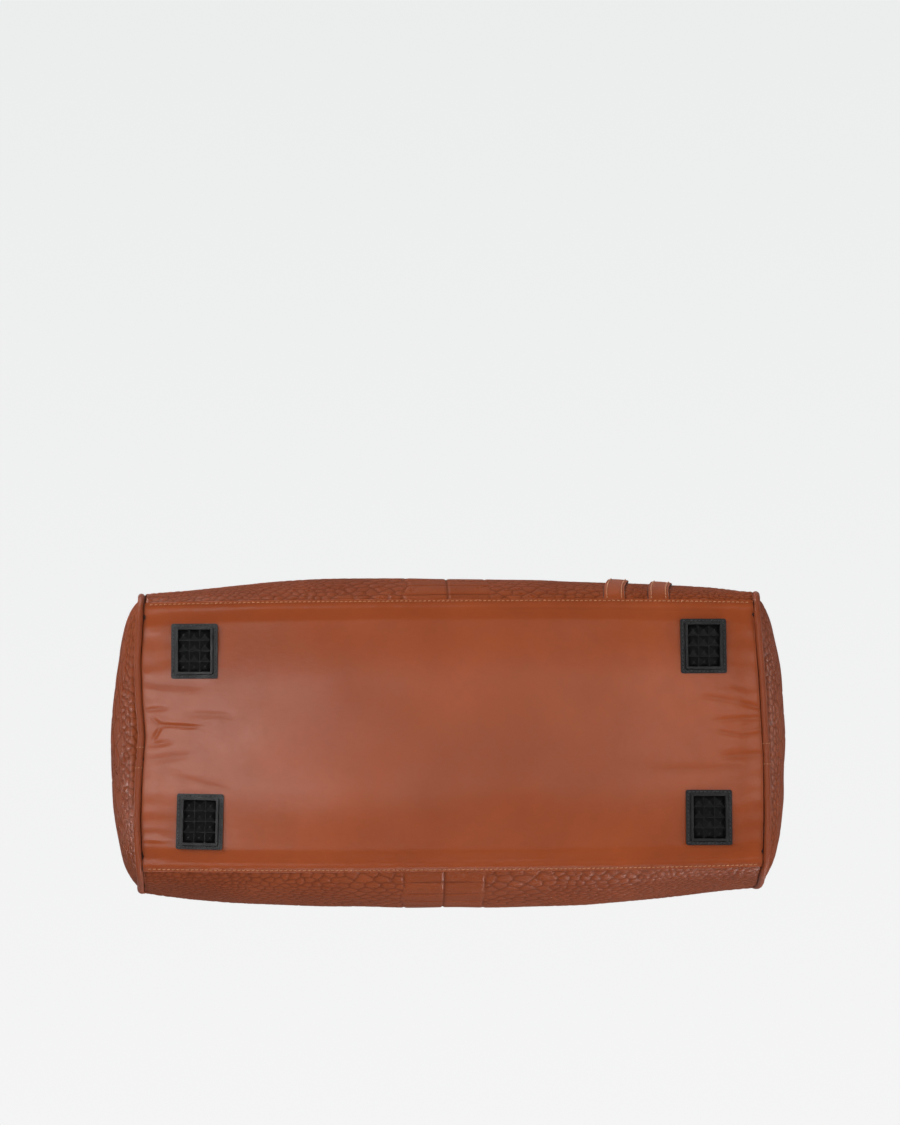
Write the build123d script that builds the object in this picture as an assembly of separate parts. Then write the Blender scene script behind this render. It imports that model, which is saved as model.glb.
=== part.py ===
"""A leather duffel bag standing on its four feet.

+X runs along the bag, -Y is the front wall, +Z is up, and the origin is on the floor under the middle.
Every dimension is in millimetres.
"""
from build123d import *
from math import asin, cos, degrees, radians, sin, sqrt
import os

os.makedirs("parts", exist_ok=True)

# --- driving dimensions -----------------------------------------------------------------
BODY_X = 227.0            # the walls end here, at the piped seams
DOME_DEPTH = 35.0         # how far an end panel domes out past its seam
BASE_Z = 5.0              # underside of the leather base, which the feet hold off the floor
TOP_Z = 276.0             # the flat top that carries the zip
LEATHER = 2.4
SEW_GAP = 0.1             # between a piece and the one it is sewn on to
MOVE_GAP = 0.3            # between a moving piece and its neighbours
SEAM_Z = 11.5             # height of the seams between the base panel and the walls
HINGE_Y = 41.0            # the folds that the two lips of the mouth open on
MOUTH_X = 172.0           # half length of the mouth
BULGE_POWER = 2.8         # how square the walls stay towards the ends
BIG = 400.0               # further than any point of the bag

# Half outlines of the body as (y, z), from the edge of the flat base to the edge of the flat top.
MID_OUTLINE = [
    (84, BASE_Z), (99, SEAM_Z), (116, 40), (127, 95), (124, 150), (111, 204), (84, 248), (46, TOP_Z)
]
END_OUTLINE = [
    (80, BASE_Z), (97, SEAM_Z), (109, 40), (115, 95), (112, 150), (102, 200), (79, 246), (46, TOP_Z)
]
SECTION_STEPS = [-1.0, -0.7, -0.35, 0.0, 0.35, 0.7, 1.0]
# How an end panel domes: how far out it has come against how far its outline has shrunk.
DOME_STEPS = [
    (0.0, 1.0), (0.15, 0.985), (0.32, 0.94), (0.5, 0.87),
    (0.66, 0.77), (0.81, 0.64), (0.94, 0.46), (1.0, 0.25),
]
DOME_CENTRE_Z = 120.0
END_INSET = 2.9           # the end panels are tucked this far inside the walls' outline
SEAM_ALLOWANCE = 5.0

PIPING_R = 2.75
BOARD = (438.0, 152.0, 3.0)
LINING_INSET = 5.8
LINING_THICK = 0.8
LINING_X = 221.0

# Feet
FOOT_X, FOOT_Y = 34.0, 40.5
FOOT_PLATE = 1.6
FOOT_CORNER = 1.6
RIM_X, RIM_Y = 27.2, 34.9
RIM_WIDTH = 1.8
RIM_CORNER, RECESS_CORNER = 1.4, 0.6
STUD_PITCH = 7.8
STUD_BASE, STUD_TOP = 7.6, 0.8
STUD_TIP_Z = 0.6
STUD_COUNT = (3, 4)
FOOT_PLACES = {
    "front_left_foot": (-189.0, -62.0, 0.0),
    "front_right_foot": (185.5, -64.0, 0.0),
    "back_left_foot": (-185.0, 63.0, 1.5),
    "back_right_foot": (187.5, 62.5, 0.5),
}

# Straps sewn up the front wall
STRAP_WIDTH = 15.5
STRAP_THICK = 2.0
STRAP_TOP_Z = 262.0
STRAP_X = {"inner_front_strap": 130.5, "outer_front_strap": 161.5}

# Handles
HANDLE_X = 95.0           # half the distance between a handle's two rings
HANDLE_Y = 118.5
HANDLE_Z = 204.0          # height of the ring bars that a handle swings on
HANDLE_LEG = 147.5        # from the ring bar to the start of the arch
HANDLE_R, GRIP_R = 6.0, 8.0
GRIP_ANGLE = 66.0
RING_WIRE = 2.0
RING_HALF = 15.0          # half the width between the centres of a ring's sides
RING_HEIGHT = 22.0
FOLD_WIDTH = 23.0
FOLD_OVERLAP = 0.5        # how far the handle's cord starts inside its fold
LOOP_R = 4.7              # outside radius of a leather loop round a ring bar
CHAPE_WIDTH = 26.0
CHAPE_BOTTOM_Z, CHAPE_TOP_Z = 150.0, 203.0
WEB_Z = (198.0, 203.0)         # the leather between a chape and its loop
CHAPE_THICK = 3.0
RIVET_R = 3.5
RIVET_HEAD = 1.4
RIVET_Z = (161.0, 180.0)

# Zip
TAPE_TOP, TAPE_THICK = TOP_Z - LEATHER, 0.7
TAPE_Y = (2.2, 28.0)
FACING_INNER_Y = 7.0
TEETH_Y = (0.8, 3.4)
TEETH_HEIGHT = 3.0
TEETH_PITCH, TOOTH_LENGTH = 4.0, 2.4
ZIP_END_X = 200.0
SLIDER_X = 184.0
SLIDER_LENGTH, SLIDER_HALF = 14.0, 5.2
SLIDER_WALL = 1.2
SLIDER_POST, POST_LENGTH = 0.5, 3.0
LUG_Y, LUG_HALF, LUG_R = 4.2, 0.8, 1.8
PULL_PIVOT_X, PULL_PIVOT_Z = 187.0, TOP_Z + 3.6
PULL_WIRE = 0.9
PULL_LENGTH = 40.0         # from the pivot to the end of the leather tab
PULL_WIDTH, PULL_THICK = 6.2, 1.4
PULL_GRIP = 8.0           # how far the metal pull reaches into its leather tab
TAB_WIDTH, TAB_THICK = 12.0, 1.6
TAB_START = 12.0

# Rings for a shoulder strap, on the end panels
SIDE_RING_Z = 204.0
SIDE_RING_R = 14.0
SIDE_RING_OUT = 7.4       # from the end panel to the ring's bar
SIDE_RING_SHANK = 6.0     # the ring's straight sides, above its bow
SIDE_TAB_WIDTH = 22.0
SIDE_TAB_BOTTOM_Z = 160.0
SIDE_WEB = 3.0            # the leather that carries the loop from the panel


def outline(x, offset):
    """Half outline at x, moved outwards by offset."""
    share = 1.0 - min(1.0, abs(x) / BODY_X) ** BULGE_POWER
    points = [
        (e[0] + (m[0] - e[0]) * share, e[1] + (m[1] - e[1]) * share)
        for e, m in zip(END_OUTLINE, MID_OUTLINE)
    ]
    moved = [(points[0][0], points[0][1] - offset)]
    for before, here, after in zip(points, points[1:], points[2:]):
        run_y, run_z = after[0] - before[0], after[1] - before[1]
        length = sqrt(run_y**2 + run_z**2)
        moved.append((here[0] + offset * run_z / length, here[1] - offset * run_y / length))
    moved.append((points[-1][0], points[-1][1] + offset))
    return moved


def section(x, offset, outline_x, shrink=1.0):
    """Closed face of the body at x, scaled towards the middle of the end panel by shrink."""
    half = [
        (y * shrink, DOME_CENTRE_Z + (z - DOME_CENTRE_Z) * shrink) for y, z in outline(outline_x, offset)
    ]
    side = [Vector(x, -y, z) for y, z in reversed(half)]
    left = Edge.make_spline(side, tangents=[Vector(0, -1, 0), Vector(0, 1, 0)])
    right = left.mirror(Plane.XZ)
    top = Edge.make_line(left @ 0, right @ 0)
    bottom = Edge.make_line(left @ 1, right @ 1)
    return Face(Wire([left, bottom, right, top]))


def body(offset):
    """The body between its end seams, as a solid moved outwards by offset."""
    return loft([section(step * BODY_X, offset, step * BODY_X) for step in SECTION_STEPS])


def dome(side, offset):
    """A solid end cap moved inwards by offset, with a seam allowance inside the walls."""
    faces = [section(side * (BODY_X - SEAM_ALLOWANCE), -offset, BODY_X)]
    for reach, shrink in DOME_STEPS:
        x = BODY_X + (DOME_DEPTH + END_INSET - offset) * reach
        faces.append(section(side * x, -offset, BODY_X, shrink))
    return loft(faces, ruled=True)


def slab(x0, x1, y0, y1, z0, z1):
    """A box between two corners."""
    return Pos((x0 + x1) / 2, (y0 + y1) / 2, (z0 + z1) / 2) * Box(abs(x1 - x0), abs(y1 - y0), z1 - z0)


def rod(centre, axis, radius, length):
    """A cylinder centred on a point, along an axis."""
    return Plane(origin=centre, z_dir=axis) * Cylinder(radius, length)


def ring(path, radius):
    """A round cord of a given radius along a wire."""
    return sweep(Plane(origin=path @ 0, z_dir=path % 0) * Circle(radius), path)


def bars(points, radius, closed=False):
    """Straight round bars through a list of points, with round corners."""
    ends = points[1:] + points[:1] if closed else points[1:]
    solid = Part() + [Pos(*p) * Sphere(radius) for p in points]
    for a, b in zip(points, ends):
        run = Vector(*b) - Vector(*a)
        solid += rod((Vector(*a) + Vector(*b)) / 2, run.normalized(), radius, run.length)
    return solid


parts = {}

# --- the shell: base, walls and top patches are cut from one bulging tube of leather ----
outer = body(0)
shell = outer - body(-LEATHER)
lower = slab(-BIG, BIG, -BIG, BIG, -BIG, SEAM_Z)
upper = slab(-BIG, BIG, -BIG, BIG, SEAM_Z, BIG)
parts["base_panel"] = shell & lower
parts["front_wall"] = shell & upper & slab(-BIG, BIG, -BIG, -HINGE_Y, -BIG, BIG)
parts["back_wall"] = shell & upper & slab(-BIG, BIG, HINGE_Y, BIG, -BIG, BIG)
for name, side in (("left", -1), ("right", 1)):
    patch = shell & slab(
        side * (MOUTH_X + MOVE_GAP), side * BODY_X, -HINGE_Y, HINGE_Y, DOME_CENTRE_Z, BIG
    )
    slot = slab(0, side * ZIP_END_X, -FACING_INNER_Y, FACING_INNER_Y, DOME_CENTRE_Z, BIG)
    parts[f"{name}_top_patch"] = patch - slot

# --- end panels and their piping ---------------------------------------------------------
domes = {side: dome(side, END_INSET) for side in (-1, 1)}
for name, side in (("left", -1), ("right", 1)):
    parts[f"{name}_end_panel"] = domes[side] - dome(side, END_INSET + LEATHER)
    seam = section(side * (BODY_X + SEW_GAP + PIPING_R), 0, BODY_X).outer_wire()
    parts[f"{name}_piping"] = ring(seam, PIPING_R)

# --- board and lining --------------------------------------------------------------------
parts["base_board"] = slab(
    -BOARD[0] / 2, BOARD[0] / 2, -BOARD[1] / 2, BOARD[1] / 2, BASE_Z + LEATHER, BASE_Z + LEATHER + BOARD[2]
)
sack = body(-LINING_INSET) & slab(-LINING_X, LINING_X, -BIG, BIG, -BIG, BIG)
reach = LINING_X - LINING_THICK
hollow = body(-LINING_INSET - LINING_THICK) & slab(-reach, reach, -BIG, BIG, -BIG, BIG)
mouth = slab(-MOUTH_X, MOUTH_X, -HINGE_Y, HINGE_Y, DOME_CENTRE_Z, BIG)
parts["lining"] = sack - hollow - mouth

# --- feet --------------------------------------------------------------------------------
flange = extrude(RectangleRounded(FOOT_X, FOOT_Y, FOOT_CORNER), FOOT_PLATE)
rim = extrude(RectangleRounded(RIM_X, RIM_Y, RIM_CORNER), BASE_Z)
recess = RectangleRounded(RIM_X - 2 * RIM_WIDTH, RIM_Y - 2 * RIM_WIDTH, RECESS_CORNER)
rim -= extrude(recess, BASE_Z)
foot = Pos(0, 0, BASE_Z - FOOT_PLATE) * flange + rim
stud = loft(
    [
        Pos(0, 0, STUD_TIP_Z) * Rectangle(STUD_TOP, STUD_TOP),
        Pos(0, 0, BASE_Z - FOOT_PLATE) * Rectangle(STUD_BASE, STUD_BASE),
    ]
)
foot += [place * stud for place in GridLocations(STUD_PITCH, STUD_PITCH, *STUD_COUNT)]
for name, (x, y, turn) in FOOT_PLACES.items():
    parts[name] = Pos(x, y, 0) * Rot(0, 0, turn) * foot


def on_wall(side, thickness, cutter):
    """A patch of leather lying on the front (-1) or back (1) wall, inside a cutter."""
    near = Pos(0, side * SEW_GAP, 0) * outer
    far = Pos(0, side * (SEW_GAP + thickness), 0) * outer
    return (far & cutter) - near


# --- straps ------------------------------------------------------------------------------
for name, x in STRAP_X.items():
    half = STRAP_WIDTH / 2
    cutter = slab(x - half, x + half, -BIG, 0, SEAM_Z + SEW_GAP, STRAP_TOP_Z)
    parts[name] = on_wall(-1, STRAP_THICK, cutter)

# --- handles, their chapes and rivets ----------------------------------------------------
reach_top = HANDLE_LEG + HANDLE_X
lean = degrees(asin((HANDLE_Y - GRIP_R - MOVE_GAP) / reach_top))
start = RING_HEIGHT + LOOP_R - FOLD_OVERLAP
legs = [
    Edge.make_line((-HANDLE_X, 0, start), (-HANDLE_X, 0, HANDLE_LEG)),
    Edge.make_three_point_arc((-HANDLE_X, 0, HANDLE_LEG), (0, 0, reach_top), (HANDLE_X, 0, HANDLE_LEG)),
    Edge.make_line((HANDLE_X, 0, HANDLE_LEG), (HANDLE_X, 0, start)),
]
strap = ring(Wire(legs), HANDLE_R)
wire_frame = Part()
for x in (-HANDLE_X, HANDLE_X):
    corners = [
        (x - RING_HALF, 0, 0),
        (x + RING_HALF, 0, 0),
        (x + RING_HALF, 0, RING_HEIGHT),
        (x - RING_HALF, 0, RING_HEIGHT),
    ]
    wire_frame += bars(corners, RING_WIRE, closed=True)
    fold = rod((x, 0, RING_HEIGHT), (1, 0, 0), LOOP_R, FOLD_WIDTH)
    strap += fold - rod((x, 0, RING_HEIGHT), (1, 0, 0), RING_WIRE + SEW_GAP, FOLD_WIDTH)
half_grip = HANDLE_X * sin(radians(GRIP_ANGLE / 2))
grip_z = HANDLE_LEG + HANDLE_X * cos(radians(GRIP_ANGLE / 2))
grip_path = Wire(
    [Edge.make_three_point_arc((-half_grip, 0, grip_z), (0, 0, reach_top), (half_grip, 0, grip_z))]
)
sleeve = ring(grip_path, GRIP_R) - ring(grip_path, HANDLE_R + SEW_GAP)
for wall, side in (("front", -1), ("back", 1)):
    swing = Pos(0, side * HANDLE_Y, HANDLE_Z) * Rot(side * lean, 0, 0)
    parts[f"{wall}_handle"] = swing * strap
    parts[f"{wall}_grip"] = swing * sleeve
    parts[f"{wall}_handle_rings"] = swing * wire_frame
    for end, x in (("left", -HANDLE_X), ("right", HANDLE_X)):
        half = CHAPE_WIDTH / 2
        cutter = slab(x - half, x + half, 0, side * BIG, CHAPE_BOTTOM_Z, CHAPE_TOP_Z)
        bar = (x, side * HANDLE_Y, HANDLE_Z)
        half_fold = FOLD_WIDTH / 2
        web = slab(x - half_fold, x + half_fold, 0, side * (HANDLE_Y - RING_WIRE), *WEB_Z)
        chape = on_wall(side, CHAPE_THICK, cutter) + rod(bar, (1, 0, 0), LOOP_R, FOLD_WIDTH)
        chape += web - Pos(0, side * SEW_GAP, 0) * outer
        parts[f"{wall}_{end}_chape"] = chape - rod(bar, (1, 0, 0), RING_WIRE + MOVE_GAP, FOLD_WIDTH)
heads = Part()
for side in (-1, 1):
    skin = Pos(0, side * (2 * SEW_GAP + CHAPE_THICK), 0) * outer
    over = Pos(0, side * (2 * SEW_GAP + CHAPE_THICK + RIVET_HEAD), 0) * outer
    for x in (-HANDLE_X, HANDLE_X):
        for z in RIVET_Z:
            heads += (rod((x, side * HANDLE_Y, z), (0, 1, 0), RIVET_R, HANDLE_Y) & over) - skin
parts["chape_rivets"] = heads

# --- the zip: two lips that fold open, and the fixed chain beyond the mouth --------------
teeth_z = TAPE_TOP - TAPE_THICK / 2


def tape(x0, x1, side, outer_y):
    """One half of the zip's tape."""
    return slab(x0, x1, side * TAPE_Y[0], side * outer_y, TAPE_TOP - TAPE_THICK, TAPE_TOP)


def teeth(x0, x1, side):
    """One row of teeth, each clamped on the edge of its tape."""
    low, high = teeth_z - TEETH_HEIGHT / 2, teeth_z + TEETH_HEIGHT / 2
    row = Part()
    count = int((x1 - x0 - TOOTH_LENGTH) / TEETH_PITCH) + 1
    first = (x0 + x1 - (count - 1) * TEETH_PITCH) / 2
    for i in range(count):
        x = first + i * TEETH_PITCH
        near, far = (side * y for y in TEETH_Y)
        row += slab(x - TOOTH_LENGTH / 2, x + TOOTH_LENGTH / 2, near, far, low, high)
    return row


for wall, side in (("front", -1), ("back", 1)):
    parts[f"{wall}_lip"] = slab(
        -MOUTH_X, MOUTH_X, side * FACING_INNER_Y, side * (HINGE_Y - MOVE_GAP), TOP_Z - LEATHER, TOP_Z
    )
    band = tape(-MOUTH_X, MOUTH_X, side, TAPE_Y[1])
    row = teeth(-MOUTH_X, MOUTH_X, side)
    parts[f"{wall}_lip_tape"] = band - row
    parts[f"{wall}_lip_teeth"] = row
for name, side in (("left", -1), ("right", 1)):
    x0, x1 = sorted((side * (MOUTH_X + MOVE_GAP), side * ZIP_END_X))
    band = tape(x0, x1, -1, TAPE_Y[1]) + tape(x0, x1, 1, TAPE_Y[1])
    row = teeth(x0, x1, -1) + teeth(x0, x1, 1)
    parts[f"{name}_zip_tape"] = band - row
    parts[f"{name}_zip_teeth"] = row

# --- slider and pull ---------------------------------------------------------------------
x0, x1 = SLIDER_X - SLIDER_LENGTH / 2, SLIDER_X + SLIDER_LENGTH / 2
plate_in = TEETH_HEIGHT / 2 + MOVE_GAP
plate_out = plate_in + SLIDER_WALL
slot = TAPE_THICK / 2 + MOVE_GAP
case = slab(x0, x1, -SLIDER_HALF, SLIDER_HALF, teeth_z - plate_out, teeth_z + plate_out)
case -= slab(x0, x1, -SLIDER_HALF + 1, SLIDER_HALF - 1, teeth_z - plate_in, teeth_z + plate_in)
case -= slab(x0, x1, -SLIDER_HALF, SLIDER_HALF, teeth_z - slot, teeth_z + slot)
case += slab(x1 - POST_LENGTH, x1, -SLIDER_POST, SLIDER_POST, teeth_z - plate_out, teeth_z + plate_out)
pivot = (PULL_PIVOT_X, 0, PULL_PIVOT_Z)
lug_top = PULL_PIVOT_Z + LUG_R
for y in (-LUG_Y, LUG_Y):
    case += slab(
        PULL_PIVOT_X - LUG_R, PULL_PIVOT_X + LUG_R, y - LUG_HALF, y + LUG_HALF, teeth_z + plate_in, lug_top
    )
case -= rod(pivot, (0, 1, 0), PULL_WIRE + MOVE_GAP, 4 * SLIDER_HALF)
parts["zip_slider"] = case
low, high = PULL_PIVOT_Z - PULL_THICK / 2, PULL_PIVOT_Z + PULL_THICK / 2
puller = slab(
    PULL_PIVOT_X, PULL_PIVOT_X + TAB_START + PULL_GRIP, -PULL_WIDTH / 2, PULL_WIDTH / 2, low, high
)
puller += rod(pivot, (0, 1, 0), PULL_WIRE, 2 * SLIDER_HALF + 1)
parts["zip_puller"] = puller
x0, x1 = PULL_PIVOT_X + TAB_START, PULL_PIVOT_X + PULL_LENGTH
sleeve = slab(x0, x1, -TAB_WIDTH / 2, TAB_WIDTH / 2, low - TAB_THICK, high + TAB_THICK)
parts["pull_tab"] = sleeve - puller

# --- rings on the end panels -------------------------------------------------------------
for name, side in (("left", -1), ("right", 1)):
    skin = domes[side]
    probe = skin & slab(0, side * BIG, -1, 1, SIDE_RING_Z - 1, SIDE_RING_Z)
    box = probe.bounding_box()
    x = side * (max(abs(box.min.X), abs(box.max.X)) + SIDE_RING_OUT)
    half = SIDE_TAB_WIDTH / 2
    cutter = slab(side * BODY_X, side * BIG, -half, half, SIDE_TAB_BOTTOM_Z, SIDE_RING_Z)
    tab = (Pos(side * (SEW_GAP + LEATHER), 0, 0) * skin & cutter) - Pos(side * SEW_GAP, 0, 0) * skin
    tab += rod((x, 0, SIDE_RING_Z), (0, 1, 0), LOOP_R, SIDE_TAB_WIDTH)
    web = slab(side * BODY_X, x, -half, half, SIDE_RING_Z, SIDE_RING_Z + SIDE_WEB)
    tab += web - Pos(side * SEW_GAP, 0, 0) * skin
    hole = rod((x, 0, SIDE_RING_Z), (0, 1, 0), RING_WIRE + MOVE_GAP, SIDE_TAB_WIDTH)
    parts[f"{name}_ring_tab"] = tab - hole
    bow = Wire(
        [
            Edge.make_line((x, -SIDE_RING_R, SIDE_RING_Z), (x, -SIDE_RING_R, SIDE_RING_Z - SIDE_RING_SHANK)),
            Edge.make_three_point_arc(
                (x, -SIDE_RING_R, SIDE_RING_Z - SIDE_RING_SHANK),
                (x, 0, SIDE_RING_Z - SIDE_RING_SHANK - SIDE_RING_R),
                (x, SIDE_RING_R, SIDE_RING_Z - SIDE_RING_SHANK),
            ),
            Edge.make_line((x, SIDE_RING_R, SIDE_RING_Z - SIDE_RING_SHANK), (x, SIDE_RING_R, SIDE_RING_Z)),
        ]
    )
    bar = bars([(x, -SIDE_RING_R, SIDE_RING_Z), (x, SIDE_RING_R, SIDE_RING_Z)], RING_WIRE)
    parts[f"{name}_d_ring"] = bar + ring(bow, RING_WIRE)

for name, solid in parts.items():
    export_step(solid, f"parts/{name}.step")
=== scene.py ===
import itertools
import math
import bpy
import numpy as np
from mathutils import Matrix, Vector

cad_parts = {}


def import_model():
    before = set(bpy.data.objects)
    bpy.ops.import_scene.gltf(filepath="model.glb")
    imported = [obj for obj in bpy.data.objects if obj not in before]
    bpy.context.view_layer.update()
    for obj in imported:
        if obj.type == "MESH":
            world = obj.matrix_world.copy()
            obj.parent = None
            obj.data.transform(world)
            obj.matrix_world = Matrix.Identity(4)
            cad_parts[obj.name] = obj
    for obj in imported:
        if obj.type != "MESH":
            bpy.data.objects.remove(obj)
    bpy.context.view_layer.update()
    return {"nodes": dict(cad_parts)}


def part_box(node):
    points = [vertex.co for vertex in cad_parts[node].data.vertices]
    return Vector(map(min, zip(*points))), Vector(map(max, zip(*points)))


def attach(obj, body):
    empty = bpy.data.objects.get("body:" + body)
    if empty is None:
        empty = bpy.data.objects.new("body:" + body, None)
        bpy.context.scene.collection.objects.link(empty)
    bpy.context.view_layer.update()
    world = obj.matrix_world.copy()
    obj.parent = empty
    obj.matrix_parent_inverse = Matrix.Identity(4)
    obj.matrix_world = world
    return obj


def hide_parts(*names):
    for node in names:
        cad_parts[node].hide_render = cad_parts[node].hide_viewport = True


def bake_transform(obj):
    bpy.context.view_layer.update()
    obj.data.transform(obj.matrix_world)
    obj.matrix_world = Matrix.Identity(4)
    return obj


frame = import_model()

# A duffel bag's leather, cloth, thread and metal over its CAD frame. Sizes are in mm on the frame's axes:
# +X along the bag, -Y the front wall, +Z up. A mesh turns into metres as it is made.

MM = 0.001
BODY_X = 227.0  # from the middle to an end seam
DOME = 35.0  # how far an end panel may bulge past its seam
BASE_Z, SEAM_Z, TOP_Z = 5.0, 11.5, 276.0
FLAT_END, FLAT_MID = 80.0, 84.0  # half the flat width of the base, at its ends and in the middle
FLAT = (FLAT_END + FLAT_MID) / 2
BULGE_POWER = 2.8
HINGE_Y = 41.0
STITCH = 3.4
THREAD_R = 0.38
BACK_STEP = 4  # face points for each point on the back of a sheet

# Half the outline across the bag, in the middle and at the ends, as (y, z).
MID = np.array([
    (FLAT_MID, BASE_Z), (99, SEAM_Z), (116, 40), (127, 95), (124, 150), (111, 204), (84, 248), (46, TOP_Z),
], float)
END = np.array([
    (FLAT_END, BASE_Z), (97, SEAM_Z), (109, 40), (115, 95), (112, 150), (102, 200), (79, 246), (46, TOP_Z),
], float)

# ---------------------------------------------------------------- small numeric helpers


def unit(v):
    return v / np.maximum(np.linalg.norm(v, axis=-1, keepdims=True), 1e-9)


def run_along(points):
    """Distance along a polyline at each of its points."""
    return np.concatenate([[0], np.cumsum(np.linalg.norm(np.diff(points, axis=0), axis=-1))])


def grid(nu, u0, u1, nv, v0, v1):
    """Two tables of nu by nv: u changes down the rows and v along the columns."""
    u = np.linspace(u0, u1, nu)[:, None] * np.ones((1, nv))
    return u, np.linspace(v0, v1, nv)[None] * np.ones((nu, 1))


def xyz(a, b, c):
    """Three tables or numbers as one table of triples."""
    return np.stack(np.broadcast_arrays(a, b, c), -1)


def smooth(a, b, x):
    t = np.clip((x - a) / (b - a), 0, 1)
    return t * t * (3 - 2 * t)


def spline(points, start, end, knots, at):
    """Cubic spline through points at knots, with unit end directions, sampled at a list of places."""
    n = len(points)
    h = np.diff(knots)
    a = np.zeros((n, n))
    r = np.zeros((n, 2))
    a[0, 0] = a[-1, -1] = 1.0
    r[0], r[-1] = start, end
    for i in range(1, n - 1):
        a[i, i - 1], a[i, i], a[i, i + 1] = h[i], 2 * (h[i - 1] + h[i]), h[i - 1]
        before, after = points[i] - points[i - 1], points[i + 1] - points[i]
        r[i] = 3 * (h[i] / h[i - 1] * before + h[i - 1] / h[i] * after)
    slope = np.linalg.solve(a, r)
    k = np.clip(np.searchsorted(knots, at) - 1, 0, n - 2)
    s = ((at - knots[k]) / h[k])[:, None]
    hk = h[k][:, None]
    return (
        (2 * s**3 - 3 * s**2 + 1) * points[k]
        + (s**3 - 2 * s**2 + s) * hk * slope[k]
        + (3 * s**2 - 2 * s**3) * points[k + 1]
        + (s**3 - s**2) * hk * slope[k + 1]
    )


KNOTS = run_along((MID + END) / 2)
fine = np.linspace(0, KNOTS[-1], 1400)
side_mid = spline(MID, (1, 0), (-1, 0), KNOTS, fine)
side_end = spline(END, (1, 0), (-1, 0), KNOTS, fine)
mean_curve = (side_mid + side_end) / 2
ARC = run_along(mean_curve)
SIDE_LENGTH = float(ARC[-1])


def share(x):
    """How much of the middle's outline is left at x: 1 in the middle and 0 at the ends."""
    return 1 - np.clip(np.abs(x) / BODY_X, 0, 1) ** BULGE_POWER


def lerp_curve(curve, s):
    return np.stack([np.interp(s, ARC, curve[:, 0]), np.interp(s, ARC, curve[:, 1])], -1)


def half_outline(x, s):
    """(y, z) of the body at x. s is the distance in mm along the half outline from the flat base's edge:
    below 0 it runs in over the base, and past SIDE_LENGTH it runs in over the top."""
    w = share(x)[..., None]
    inside = np.clip(s, 0, SIDE_LENGTH)
    p = lerp_curve(side_end, inside) * (1 - w) + lerp_curve(side_mid, inside) * w
    p[..., 0] += np.minimum(s, 0) - np.maximum(s - SIDE_LENGTH, 0)
    return p


def outline_way(x, s):
    """The direction that the half outline runs in, as (y, z)."""
    return unit(half_outline(x, s + 0.5) - half_outline(x, s - 0.5))


def flat_half(x):
    return FLAT_END + (FLAT_MID - FLAT_END) * share(x)


def end_half(z):
    """Half the width of an end seam at a height."""
    return np.interp(np.clip(z, 5.4, 275.6), side_end[:, 1], side_end[:, 0])


def s_at_z(z):
    return float(np.interp(z, mean_curve[:, 1], ARC))


def flare(z):
    """How far the end seams swell outwards at a height."""
    return 9.0 * np.exp(-(((z - 108.0) / 66.0) ** 2))


def hashed(a, b, seed):
    """A steady random number from 0 to 1 for each pair."""
    v = np.sin(a * 127.1 + b * 311.7 + seed * 74.7) * 43758.5453
    return v - np.floor(v)


def noise2(a, b, seed):
    """Smooth value noise between -1 and 1."""
    ia, ib = np.floor(a), np.floor(b)
    fa, fb = a - ia, b - ib
    fa, fb = fa * fa * (3 - 2 * fa), fb * fb * (3 - 2 * fb)
    n00, n10 = hashed(ia, ib, seed), hashed(ia + 1, ib, seed)
    n01, n11 = hashed(ia, ib + 1, seed), hashed(ia + 1, ib + 1, seed)
    return 2 * ((n00 * (1 - fa) + n10 * fa) * (1 - fb) + (n01 * (1 - fa) + n11 * fa) * fb) - 1


def normals(p):
    return unit(np.cross(np.gradient(p, axis=0), np.gradient(p, axis=1)))


def normals_facing(p, axis, sign):
    """Normals, all turned over if the one in the middle doesn't point to that side."""
    n = normals(p)
    return n if n[p.shape[0] // 2, p.shape[1] // 2, axis] * sign > 0 else -n


# ---------------------------------------------------------------- embossing


def cells(u, v, size_u, size_v, seed, jitter, power):
    """Distance in mm to the nearest edge between scales, and a random tone for each scale. A power of 2 makes
    pebbles, and a higher one squarer scales."""
    a, b = u / size_u, v / size_v
    ib = np.floor(b)
    best, second, tone = np.full(u.shape, 1e9), np.full(u.shape, 1e9), np.zeros(u.shape)
    for db in (-1, 0, 1):
        cb = ib + db
        shift = 0.5 * np.mod(cb, 2)
        ia = np.floor(a - shift)
        for da in (-1, 0, 1):
            ca = ia + da
            pu = ca + 0.5 + shift + jitter * (hashed(ca, cb, seed) - 0.5)
            pv = cb + 0.5 + jitter * (hashed(ca, cb, seed + 1) - 0.5)
            d = (np.abs((a - pu) * size_u) ** power + np.abs((b - pv) * size_v) ** power) ** (1 / power)
            nearer = d < best
            second = np.where(nearer, best, np.minimum(second, d))
            tone = np.where(nearer, hashed(ca, cb, seed + 2), tone)
            best = np.where(nearer, d, best)
    return (second - best) / 2, tone


def tiles(u, v, size_u, size_v, seed):
    """Like cells, for plain rectangles in rows and columns."""
    a, b = u / size_u, v / size_v
    ca, cb = np.floor(a), np.floor(b)
    across, up = size_u * (0.5 - np.abs(a - ca - 0.5)), size_v * (0.5 - np.abs(b - cb - 0.5))
    return np.minimum(across, up), hashed(ca, cb, seed)


def emboss(edge, width, depth, tone):
    """Relief in mm, how open the groove is, and the tone. edge is the distance to the nearest edge between
    scales, and width and depth are the groove's."""
    plateau = 1 - np.exp(-((edge / width) ** 1.7))
    return depth * (plateau - 1) + 0.08 * (tone - 0.5), 1 - np.clip(edge / width, 0, 1), tone


BELLY = 31.0  # width of a belly scale
FLANK_STARTS = (BELLY, 77.0, 143.0)
FLANKS = ((12.0, 7.6, 0.45, 3.0), (8.0, 6.2, 0.62, 2.2), (5.4, 5.0, 0.8, 2.0))  # width, height, jitter, power


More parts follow.
